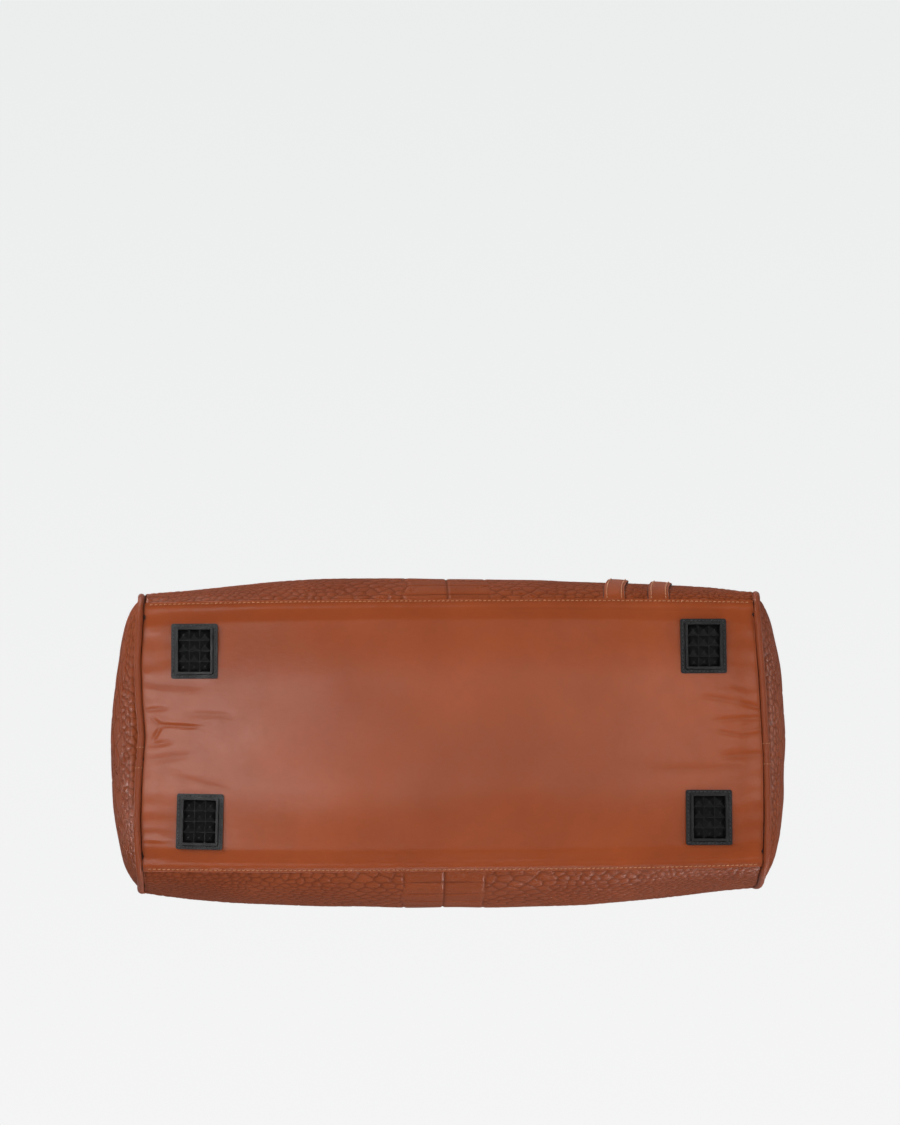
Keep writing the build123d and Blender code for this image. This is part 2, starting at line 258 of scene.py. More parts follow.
def croc(u, v, pitch, seed):
    """Embossed hide: a double row of flat belly scales along u = 0, then smaller and smaller flank scales.
    Returns relief in mm, how open the groove is (0 to 1) and each scale's tone."""
    side = smooth(10.0, 40.0, np.abs(u))
    uu = u + 3.5 * side * noise2(v / 23.0, u / 40.0, seed)
    vv = v + 1.6 * side * noise2(u / 17.0, v / 30.0, seed + 1)
    far = np.abs(uu)
    zones = [tiles(uu, vv, BELLY, pitch, seed)]
    for i, (width, height, jitter, power) in enumerate(FLANKS):
        zones.append(cells(uu, vv, width, height, seed + 5 + 4 * i, jitter, power))
    zone = np.searchsorted(FLANK_STARTS, far)
    edge, tone = (np.choose(zone, [z[i] for z in zones]) for i in (0, 1))
    edge = np.minimum(edge, np.abs(far - BELLY) + 0.45)
    width = np.choose(zone, (0.85, 1.0, 0.95, 0.95))
    return emboss(edge, width, np.choose(zone, (0.9, 0.55, 0.55, 0.5)), tone)


def end_croc(y, z, edge, seed):
    """Embossed end panel: middling scales, and small ones along the seam."""
    yy = y + 3.0 * noise2(z / 31.0, y / 47.0, seed)
    zz = z + 2.5 * noise2(y / 37.0, z / 41.0, seed + 1)
    plates = cells(yy, zz, 19.0, 14.0, seed, 0.5, 3.2)
    beads = cells(y, z, 6.4, 5.0, seed + 5, 0.7, 2.2)
    near = edge < 13.0 + 3.0 * noise2(y / 19.0, z / 23.0, seed + 2)
    gap, tone = (np.where(near, beads[i], plates[i]) for i in (0, 1))
    return emboss(gap, np.where(near, 0.9, 0.85), np.where(near, 0.7, 0.6), tone)


# ---------------------------------------------------------------- mesh building


class Piece:
    """Collects grids of points in mm and makes one mesh object in metres."""

    def __init__(self, name):
        self.name, self.mats = name, []
        self.co, self.hide, self.tint, self.faces, self.face_mat = [], [], [], [], []
        self.count = 0

    def mat(self, material):
        if material not in self.mats:
            self.mats.append(material)
        return self.mats.index(material)

    def points(self, p, hide=None, tint=None):
        """Adds points. hide is a place in the leather, in mm; the third argument is (painted shade in grooves
        and seams, tone, edge).
        """
        flat = p.reshape(-1, 3)
        self.co.append(flat)
        self.hide.append(flat if hide is None else hide.reshape(-1, 3))
        self.tint.append(np.zeros((len(flat), 3)) if tint is None else tint.reshape(-1, 3))
        first = self.count
        self.count += len(flat)
        return np.arange(first, self.count).reshape(p.shape[:-1])

    def quads(self, ids, material, flip=False, wrap_u=False, wrap_v=False):
        if wrap_u:
            ids = np.concatenate([ids, ids[:1]], 0)
        if wrap_v:
            ids = np.concatenate([ids, ids[:, :1]], 1)
        q = np.stack([ids[:-1, :-1], ids[1:, :-1], ids[1:, 1:], ids[:-1, 1:]], -1).reshape(-1, 4)
        self.polys(q[:, ::-1] if flip else q, material)

    def polys(self, faces, material):
        faces = [list(map(int, f)) for f in faces]
        self.faces += faces
        self.face_mat += [self.mat(material)] * len(faces)

    def done(self, body, replaces):
        """Makes the object. With body None it is left without a parent."""
        mesh = bpy.data.meshes.new(self.name)
        mesh.from_pydata((np.concatenate(self.co) * MM).tolist(), [], self.faces)
        for key, data in (("hide", np.concatenate(self.hide) * MM), ("tint", np.concatenate(self.tint))):
            layer = mesh.attributes.new(key, "FLOAT_VECTOR", "POINT")
            layer.data.foreach_set("vector", data.astype(np.float32).ravel())
        for m in self.mats:
            mesh.materials.append(m)
        mesh.polygons.foreach_set("material_index", np.array(self.face_mat, dtype=np.int32))
        mesh.polygons.foreach_set("use_smooth", np.ones(len(self.faces), dtype=bool))
        mesh.update()
        obj = bpy.data.objects.new(self.name, mesh)
        bpy.context.scene.collection.objects.link(obj)
        if body:
            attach(obj, body)
        if replaces:
            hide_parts(*replaces)
        return obj


def leather_sheet(piece, p, thick, material, hide, tint=None, edge=None, out=None, roll=0.45):
    """A sheet of leather or cloth: the face side p, a rounded cut edge all round, and a coarser back that
    meets the edge in n-gons. BACK_STEP divides p's rows less one and columns less one."""
    edge = edge or M["edge"]
    n = normals(p) if out is None else out
    nu, nv = p.shape[:2]
    border = [(i, 0) for i in range(nu)] + [(nu - 1, j) for j in range(1, nv)]
    border += [(i, nv - 1) for i in range(nu - 2, -1, -1)] + [(0, j) for j in range(nv - 2, 0, -1)]
    bi, bj = np.array(border).T
    rim, rim_n, rim_hide = p[bi, bj], n[bi, bj], hide[bi, bj]
    outward = unit(rim - p[np.clip(bi, 1, nu - 2), np.clip(bj, 1, nv - 2)])
    face = p.copy()
    face[bi, bj] -= rim_n * thick * 0.16
    ids = piece.points(face, hide, tint)
    piece.quads(ids, material)
    cut = np.zeros((len(bi), 3))
    cut[:, 2] = 1
    mid = piece.points(rim - rim_n * thick * 0.5 + outward * thick * roll * 0.5, rim_hide, cut)
    low = piece.points(rim - rim_n * thick * 0.9 + outward * thick * roll * 0.2, rim_hide, cut)
    piece.quads(np.stack([ids[bi, bj], mid, low]), edge, flip=True, wrap_v=True)
    back = piece.points((p - n * thick)[::BACK_STEP, ::BACK_STEP], hide[::BACK_STEP, ::BACK_STEP])
    piece.quads(back, edge, flip=True)
    back_rim = back[bi // BACK_STEP, bj // BACK_STEP]
    faces = []
    for k in range(0, len(bi), BACK_STEP):
        step = np.arange(k, k + BACK_STEP + 1) % len(bi)
        faces.append([back_rim[step[-1]], back_rim[k], *low[step]])
    piece.polys(faces, edge)
    return face, n


def stitches(piece, line, up, lift, pitch=STITCH, length=2.5, radius=THREAD_R, material=None):
    """Short thread stitches along a polyline in mm, with the leather's normal at each point."""
    run = run_along(line)
    count = int(run[-1] / pitch)
    where = (np.arange(count) + 0.5) * run[-1] / count
    offsets = np.array([-0.5, -0.36, 0.0, 0.36, 0.5])
    bulge = np.array([0.35, 0.9, 1.0, 0.9, 0.35])
    height = np.array([-1.1, 0.0, 0.75, 0.0, -1.1]) * radius + lift
    ring = np.array([(math.cos(a), math.sin(a)) for a in np.arange(6) * math.tau / 6])
    at = np.clip(where[:, None] + offsets[None] * length, 0, run[-1])
    pos = np.stack([np.interp(at, run, line[:, i]) for i in range(3)], -1)
    nor = unit(np.stack([np.interp(at, run, up[:, i]) for i in range(3)], -1))
    side = np.cross(nor, unit(pos[:, -1] - pos[:, 0])[:, None])
    centre = pos + nor * height[None, :, None] + side * (offsets * 0.28)[None, :, None]
    across, upward = (ring[:, i][None, None] * bulge[None, :, None] * radius for i in (0, 1))
    around = side[:, :, None] * across[..., None] + nor[:, :, None] * upward[..., None]
    ids = piece.points(centre[:, :, None] + around)
    turn = np.concatenate([ids, ids[:, :, :1]], 2)
    q = np.stack([turn[:, :-1, :-1], turn[:, :-1, 1:], turn[:, 1:, 1:], turn[:, 1:, :-1]], -1)
    material = material or M["thread"]
    piece.polys(q.reshape(-1, 4), material)
    piece.polys(ids[:, 0], material)
    piece.polys(ids[:, -1, ::-1], material)


def sew(piece, face, n, lift, *rows, **settings):
    """Stitches along rows of a sheet's face, each one given as an index of its grid."""
    for row in rows:
        stitches(piece, face[row], n[row], lift, **settings)


def tube(piece, path, radius, material, sides, up, closed=False, section=None):
    """A tube along points in mm. section(angles) gives the offsets (across, upward) instead of a radius."""
    tan = np.roll(path, -1, 0) - np.roll(path, 1, 0) if closed else np.gradient(path, axis=0)
    tan = unit(tan)
    side = unit(np.cross(tan, np.broadcast_to(up, path.shape)))
    upward = np.cross(side, tan)
    ang = np.arange(sides)[None] * math.tau / sides
    if section is None:
        radius = radius[:, None]
        a, b = np.cos(ang) * radius, np.sin(ang) * radius
    else:
        a, b = section(ang)
    ids = piece.points(
        path[:, None] + side[:, None] * a[..., None] + upward[:, None] * b[..., None],
        xyz(run_along(path)[:, None], a, b),
    )
    piece.quads(ids, material, flip=True, wrap_u=closed, wrap_v=True)
    if not closed:
        piece.polys([ids[0], ids[-1, ::-1]], material)
    return side, upward


# ---------------------------------------------------------------- materials


class Nodes:
    """A node tree, with short calls for the nodes used here."""

    def __init__(self, tree):
        self.tree = tree

    def add(self, kind, **settings):
        node = self.tree.nodes.new(kind)
        for key, value in settings.items():
            setattr(node, key, value)
        return node

    def link(self, a, b):
        self.tree.links.new(a, b)

    def put(self, node, values):
        for key, value in values.items():
            if hasattr(value, "links"):
                self.link(value, node.inputs[key])
            else:
                node.inputs[key].default_value = value
        return node

    def place(self):
        return self.add("ShaderNodeTexCoord").outputs["Object"]

    def attribute(self, name):
        node = self.add("ShaderNodeAttribute", attribute_name=name, attribute_type="GEOMETRY")
        return node.outputs["Vector"]

    def part(self, vector, axis):
        return self.put(self.add("ShaderNodeSeparateXYZ"), {0: vector}).outputs[axis]

    def scaled(self, vector, scale):
        return self.put(self.add("ShaderNodeMapping"), {"Vector": vector, "Scale": scale}).outputs[0]

    def noise(self, vector, scale, detail, rough=0.55):
        values = {"Vector": vector, "Scale": scale, "Detail": detail, "Roughness": rough}
        return self.put(self.add("ShaderNodeTexNoise"), values).outputs[0]

    def voronoi(self, vector, scale):
        node = self.add("ShaderNodeTexVoronoi", feature="DISTANCE_TO_EDGE")
        return self.put(node, {"Vector": vector, "Scale": scale}).outputs[0]

    def wave(self, vector, scale, direction):
        node = self.add("ShaderNodeTexWave", bands_direction=direction)
        return self.put(node, {"Vector": vector, "Scale": scale, "Distortion": 0.3}).outputs[1]

    def math(self, operation, a, b):
        return self.put(self.add("ShaderNodeMath", operation=operation), {0: a, 1: b}).outputs[0]

    def span(self, value, a, b, c=0.0, d=1.0):
        return self.put(self.add("ShaderNodeMapRange"), {0: value, 1: a, 2: b, 3: c, 4: d}).outputs[0]

    def mix(self, factor, a, b):
        return self.put(self.add("ShaderNodeMix", data_type="RGBA"), {0: factor, 6: a, 7: b}).outputs[2]

    def bump(self, height, strength, distance, before=None):
        values = {"Height": height, "Strength": strength, "Distance": distance}
        node = self.put(self.add("ShaderNodeBump"), values)
        if before is not None:
            self.link(before, node.inputs["Normal"])
        return node.outputs[0]


class Material(Nodes):
    """A material with one Principled shader."""

    def __init__(self, name):
        self.material = bpy.data.materials.new(name)
        self.material.use_nodes = True
        super().__init__(self.material.node_tree)
        self.tree.nodes.clear()
        self.out = self.add("ShaderNodeOutputMaterial")
        self.shader = self.add("ShaderNodeBsdfPrincipled")
        self.link(self.shader.outputs[0], self.out.inputs[0])

    def finish(self, **values):
        self.put(self.shader, {key.replace("_", " "): value for key, value in values.items()})
        return self.material


def shade(colour, factor=1.0):
    return (*(c * factor for c in colour), 1.0)


def leather(name, light, dark, rough, grain, crease, embossed=False, pore=1.0):
    """Leather that takes its place in the hide, the painted shade of its grooves, creases and seams, and its
    tones, from the mesh.
    """
    n = Material(name)
    hide = n.attribute("hide")
    tint = n.attribute("tint")
    groove, tone, edge = (n.part(tint, i) for i in range(3))
    clouds = n.noise(hide, 9.0, 4.0)
    mottled = n.noise(hide, 70.0, 5.0, 0.65)
    colour = n.mix(n.span(clouds, 0.32, 0.68), shade(dark), shade(light))
    colour = n.mix(n.span(mottled, 0.38, 0.8, 0.0, 0.25), colour, shade(dark, 0.62))
    if embossed:
        colour = n.mix(n.span(tone, 0.0, 1.0, 0.0, 0.3), colour, shade(dark, 0.8))
    # Painted shade: darker in the scales' grooves, in the base's creases and along seams and stitch lines, as
    # marked in the mesh's first channel.
    colour = n.mix(n.math("MULTIPLY", groove, 0.85), colour, shade(dark, 0.4))
    colour = n.mix(n.math("MULTIPLY", edge, 0.75), colour, shade(dark, 0.25))
    folds = n.noise(n.scaled(hide, (1.0, 1.7, 1.0)), 160.0, 4.0, 0.6)
    normal = n.bump(n.span(n.voronoi(hide, grain), 0.0, 0.22), 0.35 * pore, 0.00012)
    normal = n.bump(n.span(n.voronoi(hide, grain * 2.3), 0.0, 0.25), 0.3 * pore, 0.00006, normal)
    normal = n.bump(folds, crease, 0.0004, normal)
    if embossed:
        veins = n.noise(n.scaled(hide, (1.0, 2.6, 1.0)), 420.0, 3.0, 0.7)
        normal = n.bump(veins, 0.5, 0.00025, normal)
    shine = n.math("SUBTRACT", 0.42 if embossed else 0.5, n.math("MULTIPLY", groove, 0.3))
    roughness = n.span(mottled, 0.3, 0.75, rough - 0.015, rough + 0.025)
    roughness = n.math("ADD", roughness, n.math("MULTIPLY", groove, 0.2))
    return n.finish(
        Base_Color=colour, Roughness=roughness, Normal=normal, Specular_IOR_Level=shine,
        Coat_Weight=0.12 if embossed else 0.0, Coat_Roughness=0.22,
        Sheen_Weight=0.0 if embossed else 0.05, Sheen_Roughness=0.4,
    )


def thread(name, light, dark):
    n = Material(name)
    place = n.place()
    fuzz = n.noise(place, 900.0, 3.0)
    twist = n.noise(place, 2600.0, 2.0)
    return n.finish(
        Base_Color=n.mix(n.span(fuzz, 0.3, 0.7), shade(dark), shade(light)),
        Roughness=n.span(fuzz, 0.2, 0.8, 0.5, 0.75), Normal=n.bump(twist, 0.5, 0.00012),
        Sheen_Weight=0.3, Sheen_Roughness=0.5,
    )


def rubber():
    n = Material("foot_rubber")
    place = n.place()
    grit = n.noise(place, 1400.0, 3.0)
    dust = n.noise(place, 90.0, 5.0, 0.65)
    return n.finish(
        Base_Color=n.mix(
            n.span(dust, 0.45, 0.8, 0.0, 0.5), shade((0.006, 0.006, 0.0065)), shade((0.014, 0.0135, 0.013))
        ),
        Roughness=n.span(dust, 0.3, 0.8, 0.36, 0.55),
        Normal=n.bump(grit, 0.35, 0.00012),
        Specular_IOR_Level=0.5,
    )


def metal(name, light, dark, stretch):
    """Brushed and lightly handled metal."""
    n = Material(name)
    place = n.place()
    brushed = n.noise(n.scaled(place, stretch), 600.0, 4.0, 0.7)
    smudge = n.noise(place, 45.0, 4.0)
    scratch = n.noise(n.scaled(place, (1.0, 9.0, 3.0)), 260.0, 2.0, 0.8)
    colour = n.mix(n.span(smudge, 0.35, 0.7), shade(dark), shade(light))
    rough = n.math("ADD", n.span(smudge, 0.3, 0.7, 0.17, 0.3), n.span(brushed, 0.3, 0.7, 0.0, 0.1))
    normal = n.bump(brushed, 0.18, 0.00006)
    normal = n.bump(n.span(scratch, 0.62, 0.72), 0.15, 0.00004, normal)
    return n.finish(Base_Color=colour, Metallic=1.0, Roughness=rough, Normal=normal)


def woven(name, light, dark, pitch):
    """Plain-woven cloth, from crossed waves."""
    n = Material(name)
    place = n.attribute("hide")
    scale = 1.0 / (pitch * MM) / 3.18
    weave = n.math("MAXIMUM", n.wave(place, scale, "X"), n.wave(place, scale, "Y"))
    slub = n.noise(place, 240.0, 4.0, 0.7)
    colour = n.mix(n.span(slub, 0.3, 0.7), shade(dark), shade(light))
    # Painted shade between the threads: darker where the weave dips.
    colour = n.mix(n.span(weave, 0.2, 0.9, 0.45, 0.0), colour, shade(dark, 0.35))
    normal = n.bump(weave, 0.6, pitch * MM * 0.25)
    normal = n.bump(slub, 0.3, 0.0004, normal)
    return n.finish(
        Base_Color=colour, Roughness=n.span(slub, 0.3, 0.7, 0.72, 0.9), Normal=normal,
        Sheen_Weight=0.25, Sheen_Roughness=0.45,
    )


def board():
    n = Material("base_board")
    place = n.place()
    pebble = n.voronoi(place, 700.0)
    scuff = n.noise(place, 60.0, 4.0)
    colour = n.mix(n.span(scuff, 0.4, 0.7), shade((0.02, 0.02, 0.02)), shade((0.035, 0.034, 0.033)))
    return n.finish(
        Base_Color=colour, Roughness=n.span(scuff, 0.3, 0.7, 0.5, 0.65), Normal=n.bump(pebble, 0.4, 0.0002)
    )


TAN_LIGHT, TAN_DARK = (0.385, 0.076, 0.017), (0.300, 0.055, 0.011)
M = {
    "base": leather("base_leather", TAN_LIGHT, TAN_DARK, 0.29, 1500.0, 0.22, pore=0.35),
    "smooth": leather("trim_leather", TAN_LIGHT, TAN_DARK, 0.36, 1500.0, 0.28),
    "piping": leather("piping_leather", (0.33, 0.070, 0.022), (0.245, 0.049, 0.014), 0.40, 1900.0, 0.4),
    "croc": leather("croc_leather", (0.385, 0.080, 0.020), (0.285, 0.054, 0.012), 0.28, 1300.0, 0.2, True),
    "handle": leather("handle_leather", (0.33, 0.070, 0.022), (0.25, 0.049, 0.014), 0.36, 1700.0, 0.35),
    "edge": leather("painted_edge", (0.075, 0.020, 0.010), (0.045, 0.012, 0.007), 0.45, 2200.0, 0.3),
    "thread": thread("tan_thread", (0.62, 0.27, 0.12), (0.42, 0.16, 0.065)),
    "black_thread": thread("black_thread", (0.055, 0.055, 0.058), (0.025, 0.025, 0.026)),
    "rubber": rubber(),
    "brass": metal("polished_brass", (0.80, 0.60, 0.30), (0.66, 0.46, 0.21), (1.0, 1.0, 6.0)),
    "zip": metal("zip_brass", (0.72, 0.53, 0.26), (0.52, 0.36, 0.16), (6.0, 1.0, 1.0)),
    "lining": woven("lining_cloth", (0.060, 0.040, 0.028), (0.040, 0.026, 0.018), 0.7),
    "tape": woven("zip_tape", (0.055, 0.026, 0.014), (0.036, 0.017, 0.010), 0.55),
    "board": board(),
}

# ---------------------------------------------------------------- stage, light and camera, in metres

scene = bpy.context.scene
scene.view_settings.view_transform = "Standard"
FLOOR_HALF = 45.0
HORIZON = 0.69
CAMERA_DISTANCE = 1.50
TILT, YAW, ROLL = math.radians(4.2), math.radians(1.5), math.radians(0.45)


def look(place, aim, up=(0, 1, 0.001)):
    back = (Vector(place) - Vector(aim)).normalized()
    right = Vector(up).cross(back).normalized()
    m = Matrix((right, back.cross(right), back)).transposed().to_4x4()
    m.translation = Vector(place)
    return m


def camera():
    """Looks up at the base, as in the photograph."""
    data = bpy.data.cameras.new("camera")
    data.lens, data.sensor_width = 65.4, 36.0
    data.shift_x, data.shift_y = -0.0025, 0.1525
    data.clip_start, data.clip_end = 0.05, 50
    cam = bpy.data.objects.new("camera", data)
    forward = Vector((math.sin(YAW), -math.sin(TILT), math.cos(TILT))).normalized()
    aim = Vector((0.0, 0.0, 0.005))
    cam.matrix_world = look(aim - forward * CAMERA_DISTANCE, aim, (math.sin(ROLL), -math.cos(ROLL), 0))
    scene.collection.objects.link(cam)
    scene.camera = cam


def world():
    """Pale for the camera: a slow gradient straight up, and the floor's own tone at the horizon.
    Dimmer for every other ray, as in a studio with dark walls."""
    studio = bpy.data.worlds.new("studio")
    studio.use_nodes = True
    n = Nodes(studio.node_tree)
    direction = n.add("ShaderNodeTexCoord").outputs["Generated"]
    along, up = n.part(direction, 1), n.part(direction, 2)
    paper = n.mix(n.span(along, -0.45, 0.2), shade((0.83, 0.845, 0.84)), shade((0.92, 0.92, 0.92)))
    seen = n.mix(n.span(up, 0.35, 0.7), shade((1, 1, 0.995), HORIZON), paper)
    camera_ray = n.add("ShaderNodeLightPath").outputs["Is Camera Ray"]
    n.link(n.mix(camera_ray, shade((0.09, 0.09, 0.091)), seen), n.tree.nodes["Background"].inputs[0])
    scene.world = studio


def stage_floor():
    """A pale floor that is there from above and clear from below."""
    mesh = bpy.data.meshes.new("floor")
    r = FLOOR_HALF
    mesh.from_pydata([(-r, -r, 0), (r, -r, 0), (r, r, 0), (-r, r, 0)], [], [(0, 1, 2, 3)])
    floor = bpy.data.objects.new("floor", mesh)
    scene.collection.objects.link(floor)
    n = Material("floor_paint")
    speck = n.noise(n.place(), 3.0, 3.0)
    n.finish(Base_Color=n.mix(speck, shade((0.80, 0.80, 0.79)), shade((0.84, 0.84, 0.835))), Roughness=0.75)
    choose = n.add("ShaderNodeMixShader")
    n.link(n.add("ShaderNodeNewGeometry").outputs["Backfacing"], choose.inputs[0])
    n.link(n.shader.outputs[0], choose.inputs[1])
    n.link(n.add("ShaderNodeBsdfTransparent").outputs[0], choose.inputs[2])
    n.link(choose.outputs[0], n.out.inputs[0])
    mesh.materials.append(n.material)
    floor.visible_shadow = floor.visible_diffuse = floor.visible_glossy = False


def add_light(name, kind, place, aim, power, glossy):
    data = bpy.data.lights.new(name, kind)
    data.energy = power
    light = bpy.data.objects.new(name, data)
    light.matrix_world = look(place, aim)
    light.visible_glossy = glossy
    scene.collection.objects.link(light)
    return light, data


def area_light(name, place, aim, size, power, spread=180, glossy=True):
    light, data = add_light(name, "AREA", place, aim, power, glossy)
    data.shape = "RECTANGLE"
    data.size, data.size_y = size
    data.spread = math.radians(spread)
    light.visible_camera = False


def sun_light(name, place, power, spread):
    _, data = add_light(name, "SUN", place, (0, 0, 0), power, False)
    data.angle = math.radians(spread)


camera()
world()
stage_floor()
# Sheen on the base and on the feet's studs.
area_light("under_left", (-0.39, -0.10, -1.45), (-0.10, 0.0, 0), (0.30, 0.22), 3.5)
area_light("stud_light", (0.0, 1.2, -1.0), (0, 0, 0), (0.7, 0.35), 2.9)
area_light("under_right", (0.38, -0.13, -1.4), (0.12, 0, 0), (0.16, 0.22), 1.15)
# Soft light from below, for the photograph's view.
area_light("under_broad", (-1.15, -0.55, -1.05), (0, 0, 0), (0.8, 0.8), 11.2, glossy=False)
area_light("under_side", (1.25, 0.35, -0.95), (0, 0, 0), (0.8, 0.8), 8.0, glossy=False)
area_light("under_front", (0.1, -1.4, -1.1), (0, 0, 0.05), (1.2, 0.5), 3.8, glossy=False)
area_light("under_back", (-0.1, 1.5, -0.7), (0, 0, 0.05), (1.2, 0.5), 3.0, glossy=False)
# Far, narrow lights that shine in the scales and the metal.
area_light("shine_front", (-1.5, -2.8, 1.0), (0, 0, 0.2), (0.9, 0.7), 1.5, 40)
area_light("shine_back", (1.5, 2.8, 1.0), (0, 0, 0.2), (0.9, 0.7), 1.5, 40)
area_light("shine_left", (-3.0, 0.3, 0.9), (0, 0, 0.15), (0.4, 0.4), 0.5, 40)
area_light("shine_right", (3.0, -0.3, 0.9), (0, 0, 0.15), (0.4, 0.4), 0.22, 40)
# Soft light from above, for every other view.
sun_light("top_key", (-1.1, -1.4, 1.5), 2.1, 75)
sun_light("top_fill", (1.6, -0.5, 1.4), 1.0, 85)
sun_light("top_back", (0.3, 1.7, 1.3), 1.1, 85)

# ---------------------------------------------------------------- where the leather lies

S_SEAM = s_at_z(SEAM_Z)
S_TOP = SIDE_LENGTH + 5.0
ALLOWANCE = 3.0  # how far a wall runs on under the base's lapped edge

# How far each end seam wanders inwards beside the base, as (y, mm).
LEFT_DENT = (
    (-110, 3.0), (-95, 1.4), (-55, -0.7), (-26, 0.3), (0, 2.6), (18, 1.4), (33, 0.4), (62, -0.4), (92, 0.4),
    (110, 1.6),
)
RIGHT_DENT = ((-110, 5.0), (-95, 4.2), (-40, 1.5), (16, -0.9), (60, -0.6), (96, 0.2), (110, 3.8))

# Single creases in the base, from (x, y) to (x, y), with their depth and width before the two scales below.
CREASES = (
    (-221, -13, -215, -8, 0.9, 1.3), (-216, -8, -186, -6, 1.3, 1.4), (-215, -6, -221, 3, 1.2, 1.5),
    (-196, -16, -160, -14, 0.6, 3.0), (-225, -19, -210, -20, 0.8, 2.0), (-223, 7, -206, 4.5, 0.7, 1.8),
    (-204, 30, -166, 40, 0.5, 3.2), (-225, -38, -182, -36, 0.8, 5.0), (-224, 18, -190, 14, 0.6, 4.0),
    (195, -1, 212, 2.5, 0.8, 1.5), (211, 2.5, 228, 1, 1.0, 1.5), (194, -9, 228, -11, 0.8, 1.7),
    (184, -27, 214, -22, 0.7, 2.4), (213, -22, 229, -17, 1.1, 1.8), (212, -1, 230, -5, 0.8, 1.4),
    (196, 18, 229, 16, 0.9, 3.6), (146, 28, 214, 26, 0.6, 5.0), (205, -35, 229, -31, 0.5, 3.0),
)
CREASE_DEPTH, CREASE_WIDTH = 0.45, 0.75


def seam_dent(y, z, right):
    table = np.array(RIGHT_DENT if right else LEFT_DENT)
    return np.interp(y, table[:, 0], table[:, 1]) * np.exp(-np.maximum(z - BASE_Z, 0) / 26.0)


def place_x(x, y, z):
    """Moves x so that the ends follow the real seams."""
    swell = flare(z) * (1 - 0.5 * np.exp(-z / 20.0))
    inward = np.where(x > 0, seam_dent(y, z, True), seam_dent(y, z, False)) - swell
    return x - np.sign(x) * inward * (np.abs(x) / BODY_X) ** 6


def side_points(x, s, side, raise_by=0.0):
    """Points on the front (-1) or back (1) side of the body, raised off it along its normal."""
    p, q = half_outline(x, s), outline_way(x, s)
    y = side * (p[..., 0] + q[..., 1] * raise_by)
    z = p[..., 1] - q[..., 0] * raise_by
    return xyz(place_x(x, y, z), y, z)


# ---------------------------------------------------------------- base panel and walls


def pucker(x, y):
    """Depth in mm of the wrinkles that run in from the end seams, and of the slow waves between."""
    depth = 0.8 * noise2(x / 120.0 + 3, y / 70.0, 31) + 0.35 * noise2(x / 45.0, y / 30.0, 33)
    for edge, reach, middle, shift, band, narrow, seed in (
        (x + BODY_X, 34.0, -6, 0, 4.6, 2.3, 35), (BODY_X - x, 38.0, -2, -4, 4.1, 2.2, 36),
    ):
        bands = np.sin((y + shift + 7 * noise2(x / 40.0, y / 60.0, seed)) / band)
        depth += 0.15 * bands * np.exp(-((edge / reach) ** 1.4)) * np.exp(-(((y - middle) / reach) ** 2))
        depth += 0.13 * np.exp(-edge / 16.0) * np.sin(y / narrow + 2 * noise2(x / 20, y / 25, seed + 3))
        depth += 0.25 * np.exp(-(((edge - 9) / 7.0) ** 2))
    return depth


def creases(x, y):
    total = np.zeros_like(x)
    for x0, y0, x1, y1, depth, width in CREASES:
        run = math.hypot(x1 - x0, y1 - y0)
        along = ((x - x0) * (x1 - x0) + (y - y0) * (y1 - y0)) / run**2
        across = ((y - y0) * (x1 - x0) - (x - x0) * (y1 - y0)) / run
        fade = smooth(-0.2, 0.25, along) * (1 - smooth(0.7, 1.2, along))
        ridge = 0.35 * np.exp(-(((across + 2.1 * width) / (1.5 * width)) ** 2))
        total += CREASE_DEPTH * depth * fade * (np.exp(-((across / (CREASE_WIDTH * width)) ** 2)) - ridge)
    return total


def build_base():
    """The base wraps round both long edges and ends in a lapped, topstitched edge on each wall."""
    piece = Piece("base_leather")
    nx, nv = 401, 161
    half = FLAT + S_SEAM + 1.6
    x, across = grid(nx, -BODY_X, BODY_X, nv, -1, 1)
    run = np.abs(across) * half
    s = run - FLAT
    p, q = half_outline(x, s), outline_way(x, s)
    lap = 1.3 * smooth(half - 16, half - 3, run)
    y = np.where(s < 0, flat_half(x) * np.clip(run / FLAT, 0, 1), p[..., 0]) + q[..., 1] * lap
    y = np.sign(across + 1e-9) * y
    z = p[..., 1] - q[..., 0] * lap
    sewn = half - 3.0
    groove = 0.35 * np.exp(-(((run - sewn) / 1.1) ** 2))
    depth = (pucker(x, y) + creases(x, y)) * (1 - 0.6 * smooth(half - 12, half, run))
    ripple = 0.22 * np.sin(x / 3.1 + 5 * noise2(x / 30, y / 30, 41)) * np.exp(-(((run - sewn) / 7.0) ** 2))
    up = (depth + groove + ripple - 0.5) * np.where(run > 92, 0.5, 1.0)
    pillow = 3.0 * smooth(half - 64, half - 6, run) * (1 - smooth(half - 12, half, run))
    room = np.where(run < 79, 2.1, 3.2)  # up to the base board, as far as that goes
    z = z + np.clip(up + pillow, -1.5, room)
    near_end = np.minimum(x + BODY_X, BODY_X - x)
    # Painted shade: darker at the end seams, along the stitch line and in the creases.
    dark = 0.55 * np.exp(-near_end / 1.4) + 0.35 * np.exp(-(((run - sewn) / 0.8) ** 2))
    tint = xyz(dark + 0.4 * np.clip(creases(x, y), 0, 1), 0.0, 0.0)
    pts, hide = xyz(place_x(x, y, z), y, z), xyz(x, y, 0.0)
    face, n = leather_sheet(piece, pts[::-1], 2.2, M["base"], hide[::-1], tint[::-1])
    column = round((1 - sewn / half) / 2 * (nv - 1))
    sew(piece, face, n, 0.1, np.s_[3:-3, column], np.s_[3:-3, nv - 1 - column])
    piece.done("bag", ["base_panel"])


